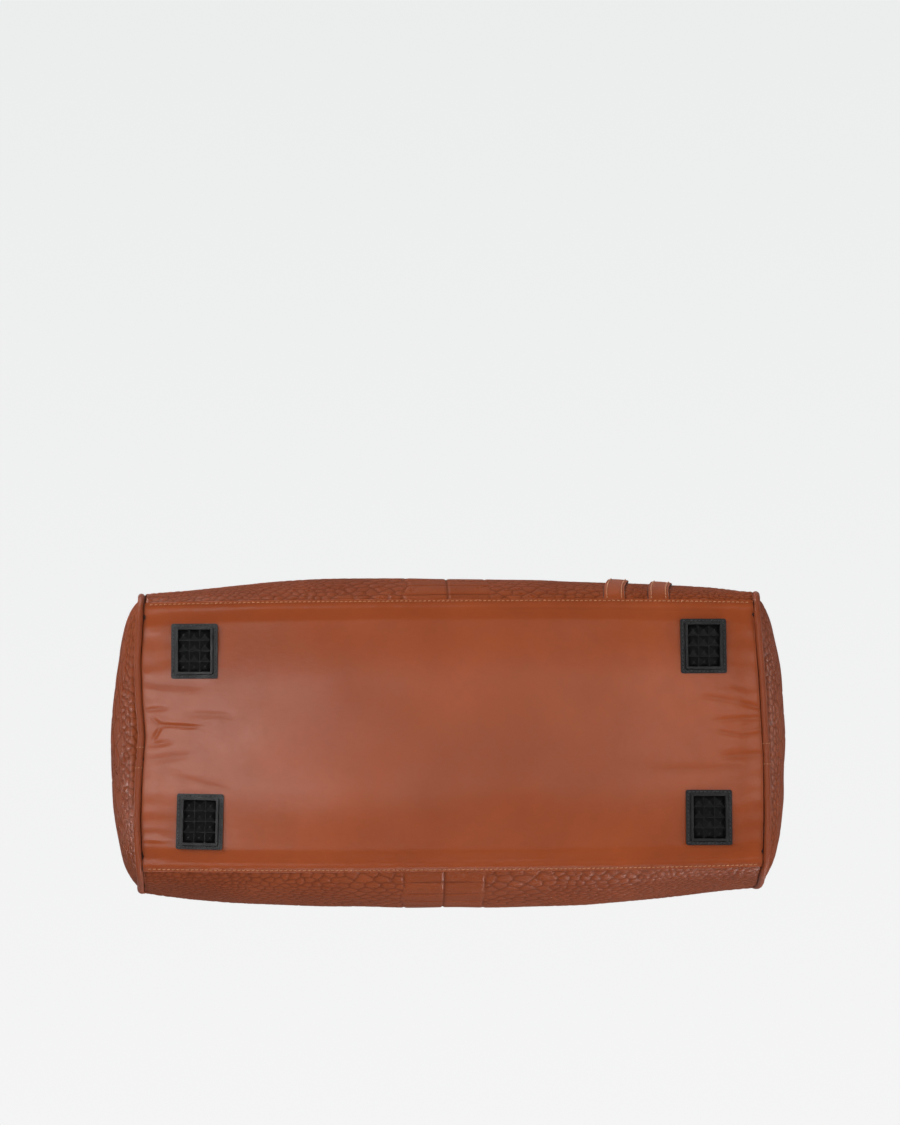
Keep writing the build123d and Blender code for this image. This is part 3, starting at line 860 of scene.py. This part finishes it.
def build_wall(name, side, seed, belly_columns, crack_rows):
    """A wall. Its belly scales meet on a line belly_columns left of the middle, and the first crack across
    them is crack_rows up from the hidden edge, so that both lie on the grid."""
    piece = Piece(f"{name}_wall_leather")
    nx, nv = 349, 241
    x, s = grid(nx, -BODY_X, BODY_X, nv, S_SEAM - ALLOWANCE, S_TOP)
    pts = side_points(x, s, side)
    row = (S_TOP - S_SEAM + ALLOWANCE) / (nv - 1)
    column = 2 * BODY_X / (nx - 1)
    v = s - S_SEAM + ALLOWANCE - crack_rows * row
    relief, groove, tone = croc(x + belly_columns * column, v, 15 * row, seed)
    calm = smooth(S_SEAM - 1, S_SEAM + 5, s) * (1 - smooth(S_TOP - 9, S_TOP - 4, s))
    sag = 1.6 * noise2(x / 95.0, s / 80.0, seed + 50) + 0.5 * noise2(x / 34.0, s / 28.0, seed + 51)
    near_end = np.minimum(x + BODY_X, BODY_X - x)
    tug = np.exp(-near_end / 17.0) * (0.8 * np.sin(s / 7.5 + 3 * noise2(s / 40, x / 40, seed + 52)) - 0.6)
    free = smooth(S_SEAM, S_SEAM + 25, s) * (1 - smooth(SIDE_LENGTH - 25, SIDE_LENGTH, s))
    raised = relief * (0.35 + 0.65 * calm) + (sag + tug) * free
    pts = pts + normals_facing(pts, 1, side) * raised[..., None]
    hide = xyz(x, s, 40.0 * seed)
    # Painted shade: darker in the scales' grooves and towards the end seams.
    tint = xyz(groove * 0.9 + 0.5 * np.exp(-near_end / 1.5), tone, 0.0)
    face, n = leather_sheet(piece, pts[::-side], 2.2, M["croc"], hide[::-side], tint[::-side])
    sew(piece, face, n, 0.2, np.s_[2:-2, nv - 1 - round(2.6 / row)])
    piece.done("bag", [f"{name}_wall"])


# ---------------------------------------------------------------- end panels and piping

END_LOW, END_HIGH = 7.6, 273.6
SEAM_INSET = 2.7


def end_surface(y, z, sign, seed, across=None):
    """x of an end panel's face, before its embossing, and the distance in mm to its seam. across is y as a
    share of the half width there, where it is known."""
    a = np.abs(y) / (end_half(z) - SEAM_INSET) if across is None else np.abs(across)
    b = np.abs((z - (END_LOW + END_HIGH) / 2) / ((END_HIGH - END_LOW) / 2))
    pillow = (np.clip(1 - a**2.7, 0, 1) * np.clip(1 - b**2.6, 0, 1)) ** 0.55
    start = BODY_X + flare(z) + 0.5 - seam_dent(y, z, sign > 0)
    belly = 0.90 + 0.09 * np.exp(-(((z - 115) / 75.0) ** 2)) - (0.04 if sign > 0 else 0.0)
    edge = np.minimum(1 - a, 1 - b) * 105
    sag = 1.8 * noise2(y / 62.0, z / 70.0, seed + 60) + 0.7 * noise2(y / 25.0, z / 27.0, seed + 61)
    tug = 0.7 * np.exp(-edge / 13.0) * np.sin((y + z) / 6.3 + 3 * noise2(y / 30, z / 30, seed + 62))
    return start + (BODY_X + DOME * belly - start) * pillow + (sag + tug) * smooth(0, 30, edge), edge


def build_end(name, sign, seed):
    """An end panel as a pillow over a grid of (across, up)."""
    piece = Piece(f"{name}_end_leather")
    across, k = grid(181, -1, 1, 221, 0, 1)
    z = END_LOW + (END_HIGH - END_LOW) * (k - 0.035 * np.sin(2 * math.pi * k))
    y = across * (end_half(z) - SEAM_INSET)
    x, edge = end_surface(y, z, sign, seed, across)
    relief, groove, tone = end_croc(y, z, edge, seed)
    pts = xyz(sign * x, y, z)
    pts = pts + normals_facing(pts, 0, sign) * (relief * (0.4 + 0.6 * smooth(2, 14, edge)))[..., None]
    hide = xyz(y, z, 40.0 * seed)
    # Painted shade: darker in the scales' grooves and towards the seam.
    tint = xyz(groove * 0.9 + 0.5 * np.exp(-edge / 2.0), tone, 0.0)
    leather_sheet(piece, pts[::sign], 2.2, M["croc"], hide[::sign], tint[::sign])
    piece.done("bag", [f"{name}_end_panel"])


def seam_loop():
    """Even points round the end seam's outline, as (y, z), with the outward direction and the run."""
    count = 520
    p = lerp_curve(side_end, np.linspace(0, SIDE_LENGTH, 900))
    half = np.concatenate([[[0, BASE_Z]], p, [[0, TOP_Z]]])
    closed = np.concatenate([half, half[::-1][1:] * [-1, 1]])
    run = run_along(closed)
    at = np.arange(count) * run[-1] / count
    yz = np.stack([np.interp(at, run, closed[:, 0]), np.interp(at, run, closed[:, 1])], -1)
    t = unit(np.roll(yz, -3, 0) - np.roll(yz, 3, 0))
    return yz, np.stack([t[:, 1], -t[:, 0]], -1), at


def build_piping(name, sign, seed):
    """Covered cord in an end seam, with the butt joint that shows beside the base."""
    piece = Piece(f"{name}_piping_leather")
    yz, out, at = seam_loop()
    y, z = yz.T
    x = np.abs(place_x(np.full(len(y), sign * BODY_X), y, z)) + 2.9
    wander = 0.25 * noise2(at / 60.0, at * 0, seed)
    path = xyz(sign * (x + wander), y + out[:, 0] * (wander - 2.1), z + out[:, 1] * (wander - 1.0))
    radius = 2.6 + 0.10 * noise2(at / 9.0, at * 0, seed + 1) + 0.07 * noise2(at / 3.0, at * 0, seed + 2)
    joint = np.minimum(np.abs(y - 16.5), 50) + np.where(z > 60, 50, 0)
    radius = radius - 0.55 * np.exp(-((joint / 0.8) ** 2)) + 0.16 * np.exp(-(((joint - 2.4) / 1.6) ** 2))
    tube(piece, path, radius, M["piping"], 18, xyz(0.0, out[:, 0], out[:, 1]), closed=True)
    for step in (-5, 4):
        centre = path[(np.argmin(joint) + step) % len(path)]
        ang = np.linspace(-1.3, 1.3, 9)
        ring = centre + xyz(np.sin(ang) * sign, 0.0, -np.cos(ang)) * 2.8
        stitches(piece, ring, ring - centre, 0.16, pitch=2.2, length=1.7, radius=0.28)
    piece.done("bag", [f"{name}_piping"])


# ---------------------------------------------------------------- straps on the front wall


def build_strap(node, x_mid, seed):
    """A strap up the front wall, which leans a little near the base."""
    piece = Piece(f"{node}_leather")
    half = 7.75
    x, s = grid(21, x_mid - half, x_mid + half, 261, S_SEAM - 2.0, s_at_z(262))
    p = side_points(x, s, -1, 1.4)
    p[..., 0] += 5.0 - 12.0 * np.exp(-(((s - S_SEAM) / 55.0) ** 2)) - 5.0 * smooth(110, 210, s)
    crown = 0.35 * (1 - ((x - x_mid) / half) ** 2) + 0.25 * noise2(s / 42.0, x / 30.0, seed)
    tucked = 1.2 * np.exp(-((np.maximum(s - S_SEAM, 0) / 4.5) ** 2))
    p = p + normals(p) * (crown - tucked)[..., None]
    p[..., 0] += 0.7 * noise2(s / 90.0, x * 0, seed + 1)
    face, n = leather_sheet(piece, p, 2.0, M["smooth"], xyz(s, x, 25.0 * seed))
    sew(piece, face, n, 0.12, np.s_[3, 1:-6], np.s_[-4, 1:-6], np.s_[3:-3, -7])
    piece.done("bag", [node])


# ---------------------------------------------------------------- the top: lips, tape and teeth

LIP_Z = 275.7
FACING_Y = 7.0
ZIP_END_X = 200.0
ZIP_Z = 273.3


def bevel_box(piece, centre, size, bevel, material):
    """A block with chamfered edges: three points at each corner, one for each face that meets there."""
    h = np.asarray(size, float) / 2
    signs = (-1, 1)
    ids, pts = {}, []
    for corner in itertools.product(signs, repeat=3):
        for axis in range(3):
            ids[(*corner, axis)] = len(pts)
            pts.append(corner * (h - bevel * (np.arange(3) != axis)) + centre)
    first = piece.points(np.array(pts))[0]
    faces = []

    def add(ring, keep):
        faces.append([first + i for i in (ring if keep else ring[::-1])])

    for axis in range(3):
        u, v = (axis + 1) % 3, (axis + 2) % 3

        def point(sa, su, sv, face):
            key = [0, 0, 0]
            key[axis], key[u], key[v] = sa, su, sv
            return ids[(*key, face)]

        square = ((-1, -1), (1, -1), (1, 1), (-1, 1))
        for sa in signs:
            add([point(sa, su, sv, axis) for su, sv in square], sa > 0)
        for su, sv in square:
            add([point(sa, su, sv, face) for sa, face in ((-1, u), (1, u), (1, v), (-1, v))], su * sv > 0)
    for corner in itertools.product(signs, repeat=3):
        add([ids[(*corner, axis)] for axis in range(3)], math.prod(corner) > 0)
    piece.polys(faces, material)


def open_blend(obj):
    """Bakes the object's transform into its mesh."""
    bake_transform(obj)


def build_lip(wall, side, name, end):
    """Half of a mouth lip, with the top patch beyond it, from the middle to one end."""
    piece = Piece(f"{wall}_{name}_lip_leather")
    sewn_y = HINGE_Y - 0.4
    x, y = grid(193, *sorted((0.0, end * 226.4)), 29, *sorted((side * sewn_y, side * FACING_Y)))
    slack = smooth(FACING_Y, 14, np.abs(y)) * (1 - smooth(34, HINGE_Y, np.abs(y)))
    wave = 0.5 * noise2(x / 60.0, y / 24.0, 70 + side) + 0.22 * noise2(x / 21.0, y / 12.0, 71 + side)
    z = LIP_Z + (wave - 0.35) * slack * smooth(0, 10, np.abs(x)) - 0.15 * (1 - slack)
    # Painted shade: darker along the sewn line.
    tint = xyz(0.4 * np.exp(-((np.abs(y) - sewn_y) ** 2)), 0.0, 0.0)
    face, n = leather_sheet(piece, xyz(x, y, z), 1.9, M["smooth"], xyz(x, y, 300.0), tint, roll=0.15)
    sew(piece, face, n, 0.1, np.s_[:, np.argmin(np.abs(y[0] - side * (FACING_Y + 2.4)))])
    obj = piece.done(None, [f"{wall}_lip", f"{name}_top_patch"])
    open_blend(obj)


def build_tape(wall, side, name, end):
    piece = Piece(f"{wall}_{name}_zip_tape_cloth")
    x, y = grid(161, *sorted((0.0, end * ZIP_END_X)), 21, *sorted((side * 1.3, side * 27.0)))
    cord = 0.35 * np.exp(-(((np.abs(y) - 2.2) / 0.8) ** 2))
    pts = xyz(x, y, 273.55 + cord + 0.04 * np.sin(y * 4.0))
    leather_sheet(piece, pts, 0.65, M["tape"], pts, edge=M["tape"], roll=0.1)
    obj = piece.done(None, [f"{wall}_lip_tape", f"{name}_zip_tape"])
    open_blend(obj)


def build_teeth(wall, side, name, end):
    """Zip teeth: a flat head towards the other row and two jaws clamped on the tape's cord."""
    piece = Piece(f"{wall}_{name}_zip_teeth_metal")
    pitch = 3.4
    for k in range(int((ZIP_END_X - 2.0) / pitch) + 1):
        x = end * (k * pitch + pitch / 2) + 0.25 * pitch * side
        if abs(x) > ZIP_END_X - 1.2:
            continue
        bevel_box(piece, (x, side * 1.35, ZIP_Z), (1.75, 1.5, 2.1), 0.35, M["zip"])
        for dz in (-0.95, 0.95):
            bevel_box(piece, (x, side * 2.7, ZIP_Z + dz), (1.5, 1.9, 0.95), 0.3, M["zip"])
    obj = piece.done(None, [f"{wall}_lip_teeth", f"{name}_zip_teeth"])
    open_blend(obj)


def build_end_tab(name, end):
    """The leather tab sewn over each end of the zip."""
    piece = Piece(f"{name}_zip_end_tab")
    start = 197.0
    x, y = grid(37, *sorted((end * start, end * 226.6)), 33, -13, 13)
    y = y * (1 - 0.16 * (1 - smooth(0, 5, np.abs(x) - start)))
    pts = xyz(x, y, 277.0 + 0.1 * np.cos(y / 9.0))
    face, n = leather_sheet(piece, pts, 1.4, M["smooth"], xyz(x, y, 420.0))
    inner = 2 if end > 0 else -3
    sew(piece, face, n, 0.08, np.s_[2:-2, 2], np.s_[2:-2, -3], np.s_[inner, 2:-2])
    piece.done("bag", [])


# ---------------------------------------------------------------- lining


def build_lining():
    """The lining: a sack from rim to rim under the base, and a cap at each end."""
    piece = Piece("lining_cloth_sack")
    inset = 6.3
    x, t = grid(109, -219.5, 219.5, 197, -1, 1)
    run = np.abs(t) * (FLAT_END + S_TOP)
    s = run - FLAT_END
    p, q = half_outline(x, s), outline_way(x, s)
    folds = 1.0 + noise2(x / 31.0, s / 60.0, 81) + 0.5 * noise2(x / 13.0, s / 30.0, 82)
    deep = inset + 1.6 * folds * smooth(0, 25, S_TOP - s)
    y = np.where(s < 0, flat_half(x) * run / FLAT_END, p[..., 0]) - q[..., 1] * deep * (s > -4)
    sack = xyz(x, np.where(t < 0, -y, y), p[..., 1] + q[..., 0] * deep)
    leather_sheet(piece, sack, 0.6, M["lining"], xyz(x, t * 400, 0.0), edge=M["lining"], roll=0.1)
    for sign in (-1, 1):
        across, k = grid(57, -1, 1, 77, 0, 1)
        z = 12.5 + (269.0 - 12.5) * k
        y = across * (end_half(z) - inset - 2.5)
        fold = 1.5 + 1.3 * noise2(y / 26.0, z / 55.0, 85) + 0.6 * noise2(y / 12.0, z / 30.0, 86)
        cap = xyz(sign * (220.4 - fold), y, z)[::-sign]
        leather_sheet(piece, cap, 0.6, M["lining"], cap[..., [1, 2, 0]], edge=M["lining"], roll=0.1)
    piece.done("bag", ["lining"])


# ---------------------------------------------------------------- handles, chapes, rings

HANDLE_X, HANDLE_Y, HANDLE_Z = 95.0, 118.5, 204.0
LEG, ARCH = 147.5, 95.0
LEAN = math.asin((HANDLE_Y - 8.3) / (LEG + ARCH))
TAB_WIDE, TAB_DEEP = 11.4, 4.65


def lean_to(u, w, out, side):
    """From a handle's own plane (across, along, out of it) to the bag."""
    y = side * (HANDLE_Y - w * math.sin(LEAN) + out * math.cos(LEAN))
    z = HANDLE_Z + w * math.cos(LEAN) + out * math.sin(LEAN)
    return xyz(u, y, z)


def handle_up(side):
    return np.array([0, side * math.cos(LEAN), math.sin(LEAN)])


def handle_wide(height):
    """Half the width of a handle, from the flat tab at its ring to the roll."""
    return TAB_WIDE - 5.4 * smooth(34, 64, height)


def handle_deep(height, tab=TAB_DEEP):
    return tab - 0.5 * smooth(23, 34, height) + 1.85 * smooth(38, 64, height)


def build_handle(wall, side):
    """A rolled handle: flat sewn tabs at its ends, and a seam ridge along the inside of the roll."""
    piece = Piece(f"{wall}_handle_leather")
    tab_end = np.array([17.35, 17.6, 18.1, 18.9, 20.0, 21.2, 22.5, 24, 26, 28.5, 31])
    w = np.concatenate([tab_end, np.arange(34, LEG, 2.6)])
    ang = np.linspace(math.pi, 0, 121)
    u_all = np.concatenate([np.full(len(w), -HANDLE_X), ARCH * np.cos(ang), np.full(len(w), HANDLE_X)])
    w_all = np.concatenate([w, LEG + ARCH * np.sin(ang), w[::-1]])
    path = lean_to(u_all, w_all, 0.0, side)
    up = handle_up(side)
    height = np.where(w_all > LEG, 200.0, w_all)
    rounded = np.sqrt(np.maximum(TAB_DEEP**2 - (22 - height) ** 2, 0.05))
    deep = handle_deep(height, np.where(height < 22, rounded, TAB_DEEP))[:, None]
    wide = handle_wide(height)[:, None]
    boxy = (5.0 - 3.0 * smooth(36, 62, height))[:, None]
    run = run_along(path)
    lumps = 1 + 0.018 * noise2(run / 26.0, run * 0, 90) + 0.012 * noise2(run / 8.0, run * 0, 91)

    def section(a):
        r = (np.abs(np.cos(a)) ** boxy + np.abs(np.sin(a)) ** boxy) ** (-1 / boxy) * lumps[:, None]
        ridge = 1.3 * smooth(60, 84, height)[:, None] * np.exp(-((np.angle(np.exp(1j * a)) / 0.2) ** 2))
        return (r * wide + ridge) * np.cos(a), (r * deep + ridge) * np.sin(a)

    across, upward = tube(piece, path, None, M["handle"], 28, up, section=section)
    roll = slice(len(w) - 30, len(path) - len(w) + 30)
    for tilt in (-0.42, 0.42):
        d = across * math.cos(tilt) + upward * math.sin(tilt)
        stitches(piece, (path + d * 6.15)[roll], d[roll], 0.05, pitch=3.6)
    tab = np.arange(27.0, 46.0, 2.0)
    for end, face in itertools.product((-1, 1), repeat=2):
        lines = [
            lean_to(end * HANDLE_X + off * handle_wide(tab) / TAB_WIDE, tab, face * handle_deep(tab), side)
            for off in (-7.6, 7.6)
        ]
        lines.append(lean_to(end * HANDLE_X + np.linspace(-8, 8, 9), 28.0, face * 4.5, side))
        for line in lines:
            stitches(piece, line, np.broadcast_to(up * face, line.shape), 0.05)
    piece.done(f"{wall}_handle_body", [f"{wall}_handle"])


def build_grip(wall, side):
    """The sleeve round the top of a handle."""
    piece = Piece(f"{wall}_grip_leather")
    span = math.radians(33)
    ang = np.linspace(math.pi / 2 + span, math.pi / 2 - span, 85)
    path = lean_to(ARCH * np.cos(ang), LEG + ARCH * np.sin(ang), 0.0, side)
    t = np.linspace(-1, 1, len(ang))
    fold = 0.35 * np.exp(-(((np.abs(t) - 0.93) / 0.012) ** 2))
    radius = 7.75 - 1.5 * np.abs(t) ** 26 + 0.12 * noise2(t * 6, t * 0, 93) - fold
    across, _ = tube(piece, path, radius, M["smooth"], 28, handle_up(side))
    aside = unit(np.cross(np.gradient(path, axis=0), across))
    for off in (-1.5, 1.5):
        line = path + across * 7.62 + aside * off
        stitches(piece, line[4:-4], across[4:-4], 0.05, pitch=3.6)
    piece.done(f"{wall}_handle_body", [f"{wall}_grip"])


def rounded_end(k):
    """Half width of a tab as a share, where k runs from 0 to 1 over its rounded end."""
    return np.sqrt(np.maximum(1 - 0.86 * np.clip(k, 0, 1) ** 2.2, 0.05))


def loop_sheet(piece, profile, width, frame_of, centre):
    """A strap of leather bent along a smooth profile of (out, up) points, made round a ring's bar."""
    thick = 2.0
    nu, nt = 17, 57
    profile = np.array(profile)
    knots = run_along(profile)
    u, t = grid(nu, -width / 2, width / 2, nt, 0, knots[-1])
    c = spline(profile, unit(profile[1] - profile[0]), unit(profile[-1] - profile[-2]), knots, t[0])
    way = unit(np.gradient(c, axis=0))
    n = np.stack([-way[:, 1], way[:, 0]], -1)
    if np.dot(n[nt // 2], c[nt // 2] - np.array(centre)) < 0:
        n = -n
    face = c + n * thick / 2
    pts = frame_of(u, face[:, 0], face[:, 1])
    out = frame_of(0 * u, n[:, 0], n[:, 1]) - frame_of(0 * u, 0.0, 0.0)
    outward = np.sum(normals(pts)[nu // 2, nt // 2] * out[nu // 2, nt // 2]) > 0
    order = slice(None) if outward else slice(None, None, -1)
    leather_sheet(piece, pts[order], thick, M["smooth"], xyz(u, t, 600.0)[order], out=out[order])


def build_chape(wall, side, name, x_mid):
    """The riveted tab under a handle ring, and the loop of leather through the ring."""
    piece = Piece(f"{wall}_{name}_chape_leather")
    s0, s1 = s_at_z(150), s_at_z(197)
    across, s = grid(33, -1, 1, 65, s0, s1)
    x = x_mid + across * (13.0 * rounded_end((s0 + 9.0 - s) / 9.0))
    p, hide = side_points(x, s, side, 3.05), xyz(s, x, 500.0)
    face, n = leather_sheet(piece, p[::-side], 2.9, M["smooth"], hide[::-side])
    sew(piece, face, n, 0.1, np.s_[3, 4:-2], np.s_[-4, 4:-2], np.s_[3:-3, 4], np.s_[3:-3, -5])
    out = half_outline(np.array([x_mid]), np.array([s_at_z(186)]))[0, 0]
    profile = [
        (out + 2.0, 186.0), (113.9, 192.0), (114.5, 198.5), (115.0, 204.0), (116.0, 206.5), (118.5, 207.5),
        (121.0, 206.5), (122.0, 204.0), (121.5, 199.5), (120.0, 193.5), (out + 3.6, 187.0),
    ]
    loop_sheet(piece, profile, 23.0, lambda u, y, z: xyz(x_mid + u, side * y, z), (HANDLE_Y, HANDLE_Z))
    piece.done("bag", [f"{wall}_{name}_chape"])


def box_mm(node):
    return [np.array(corner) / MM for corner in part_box(node)]


def build_ring_tab(name, sign, seed):
    """The tab on an end panel, and the loop of leather through its D-ring."""
    piece = Piece(f"{name}_ring_tab_leather")
    across, z = grid(29, -1, 1, 57, 161.0, 196.0)
    y = across * 11.0 * rounded_end((170.0 - z) / 9.0)
    x, _ = end_surface(y, z, sign, seed)
    p, hide = xyz(sign * (x + 2.9), y, z), xyz(z, y, 700.0)
    face, n = leather_sheet(piece, p[::sign], 2.4, M["smooth"], hide[::sign])
    sew(piece, face, n, 0.1, np.s_[3, 4:-3], np.s_[-4, 4:-3], np.s_[3:-3, 4], np.s_[3:-3, -6])
    low, high = box_mm("right_d_ring")
    r = (low[0] + high[0]) / 2
    out = end_surface(np.array([0.0]), np.array([188.0]), sign, seed)[0][0]
    profile = [
        (out + 2.0, 186.0), (r - 5.2, 193.0), (r - 3.9, 199.0), (r - 3.5, 204.0), (r - 2.5, 206.5),
        (r, 207.5), (r + 2.5, 206.5), (r + 3.5, 204.0), (r + 2.9, 199.5), (r + 0.2, 193.5),
        (out + 3.4, 187.5),
    ]
    loop_sheet(piece, profile, 21.0, lambda u, x, z: xyz(sign * x, u, z), (r, 204.0))
    piece.done("bag", [f"{name}_ring_tab"])


def build_pull_tab():
    low, high = box_mm("pull_tab")
    piece = Piece("pull_tab_leather")
    k, across = grid(41, 0, 1, 25, -1, 1)
    x = low[0] + (high[0] - low[0] + 3.5) * k
    end = np.clip((k - 0.8) / 0.2, 0, 1)
    half = (high[1] - low[1]) / 2 * np.sqrt(np.maximum(1 - 0.8 * end**2.4, 0.05))
    y = across * half * (0.78 + 0.22 * smooth(0, 0.5, k))
    pts = xyz(x, y, high[2] - 0.45 * across**2)
    face, n = leather_sheet(piece, pts, high[2] - low[2], M["smooth"], xyz(x, y, 800.0), roll=0.18)
    sew(piece, face, n, 0.08, np.s_[2:-6, 3], np.s_[2:-6, -4], pitch=2.9, length=2.1, radius=0.3)
    piece.done("puller_body", ["pull_tab"])


# ---------------------------------------------------------------- feet and the rest of the CAD nodes

FEET = {"front_left_foot": 0, "front_right_foot": 0, "back_left_foot": 1.5, "back_right_foot": 0.5}  # degrees


def build_foot_stitches(node, turn):
    """Stitches in the foot's flange, round its raised rim."""
    low, high = box_mm(node)
    centre = (low + high) / 2
    hx, hy, r = 15.4, 18.75, 0.9
    loop = []
    for cx, cy, start in ((1, 1, 0), (-1, 1, 90), (-1, -1, 180), (1, -1, 270)):
        for step in range(7):
            t = math.radians(start + step * 15)
            loop.append((cx * (hx - r) + r * math.cos(t), cy * (hy - r) + r * math.sin(t)))
    px, py = np.array(loop + loop[:1]).T
    c, s = math.cos(math.radians(turn)), math.sin(math.radians(turn))
    line = xyz(centre[0] + c * px - s * py, centre[1] + s * px + c * py, 3.4)
    down = np.broadcast_to([0, 0, -1.0], line.shape)
    piece = Piece(f"{node}_stitching")
    stitches(piece, line, down, 0.05, pitch=2.9, length=2.2, radius=0.33, material=M["black_thread"])
    piece.done("bag", [])


def dress(node, material, bevel=0.0, segments=2):
    """Gives a CAD node its material and small bevels."""
    obj = frame["nodes"][node]
    obj.data.materials.clear()
    obj.data.materials.append(material)
    if bevel:
        mod = obj.modifiers.new("edge", "BEVEL")
        mod.width, mod.segments = bevel * MM, segments
        mod.limit_method, mod.angle_limit = "ANGLE", math.radians(40)


build_base()
build_wall("front", -1, 3, 2, 10)
build_wall("back", 1, 21, 5, 14)
ENDS = (("left", -1, 5), ("right", 1, 8))
for name, end, seed in ENDS:
    build_end(name, end, seed)
build_piping("left", -1, 11)
build_piping("right", 1, 14)
build_strap("inner_front_strap", 128.8, 2)
build_strap("outer_front_strap", 161.0, 6)
for wall, side in (("front", -1), ("back", 1)):
    for name, end, _ in ENDS:
        build_lip(wall, side, name, end)
        build_tape(wall, side, name, end)
        build_teeth(wall, side, name, end)
        build_chape(wall, side, name, end * HANDLE_X)
    build_handle(wall, side)
    build_grip(wall, side)
    dress(f"{wall}_handle_rings", M["brass"])
for name, end, seed in ENDS:
    build_end_tab(name, end)
    build_ring_tab(name, end, seed)
    dress(f"{name}_d_ring", M["brass"])
build_lining()
build_pull_tab()
for node, turn in FEET.items():
    build_foot_stitches(node, turn)
    dress(node, M["rubber"], 0.25)
dress("chape_rivets", M["brass"], 0.5, 3)
dress("zip_slider", M["zip"], 0.18)
dress("zip_puller", M["zip"], 0.2)
dress("base_board", M["board"])
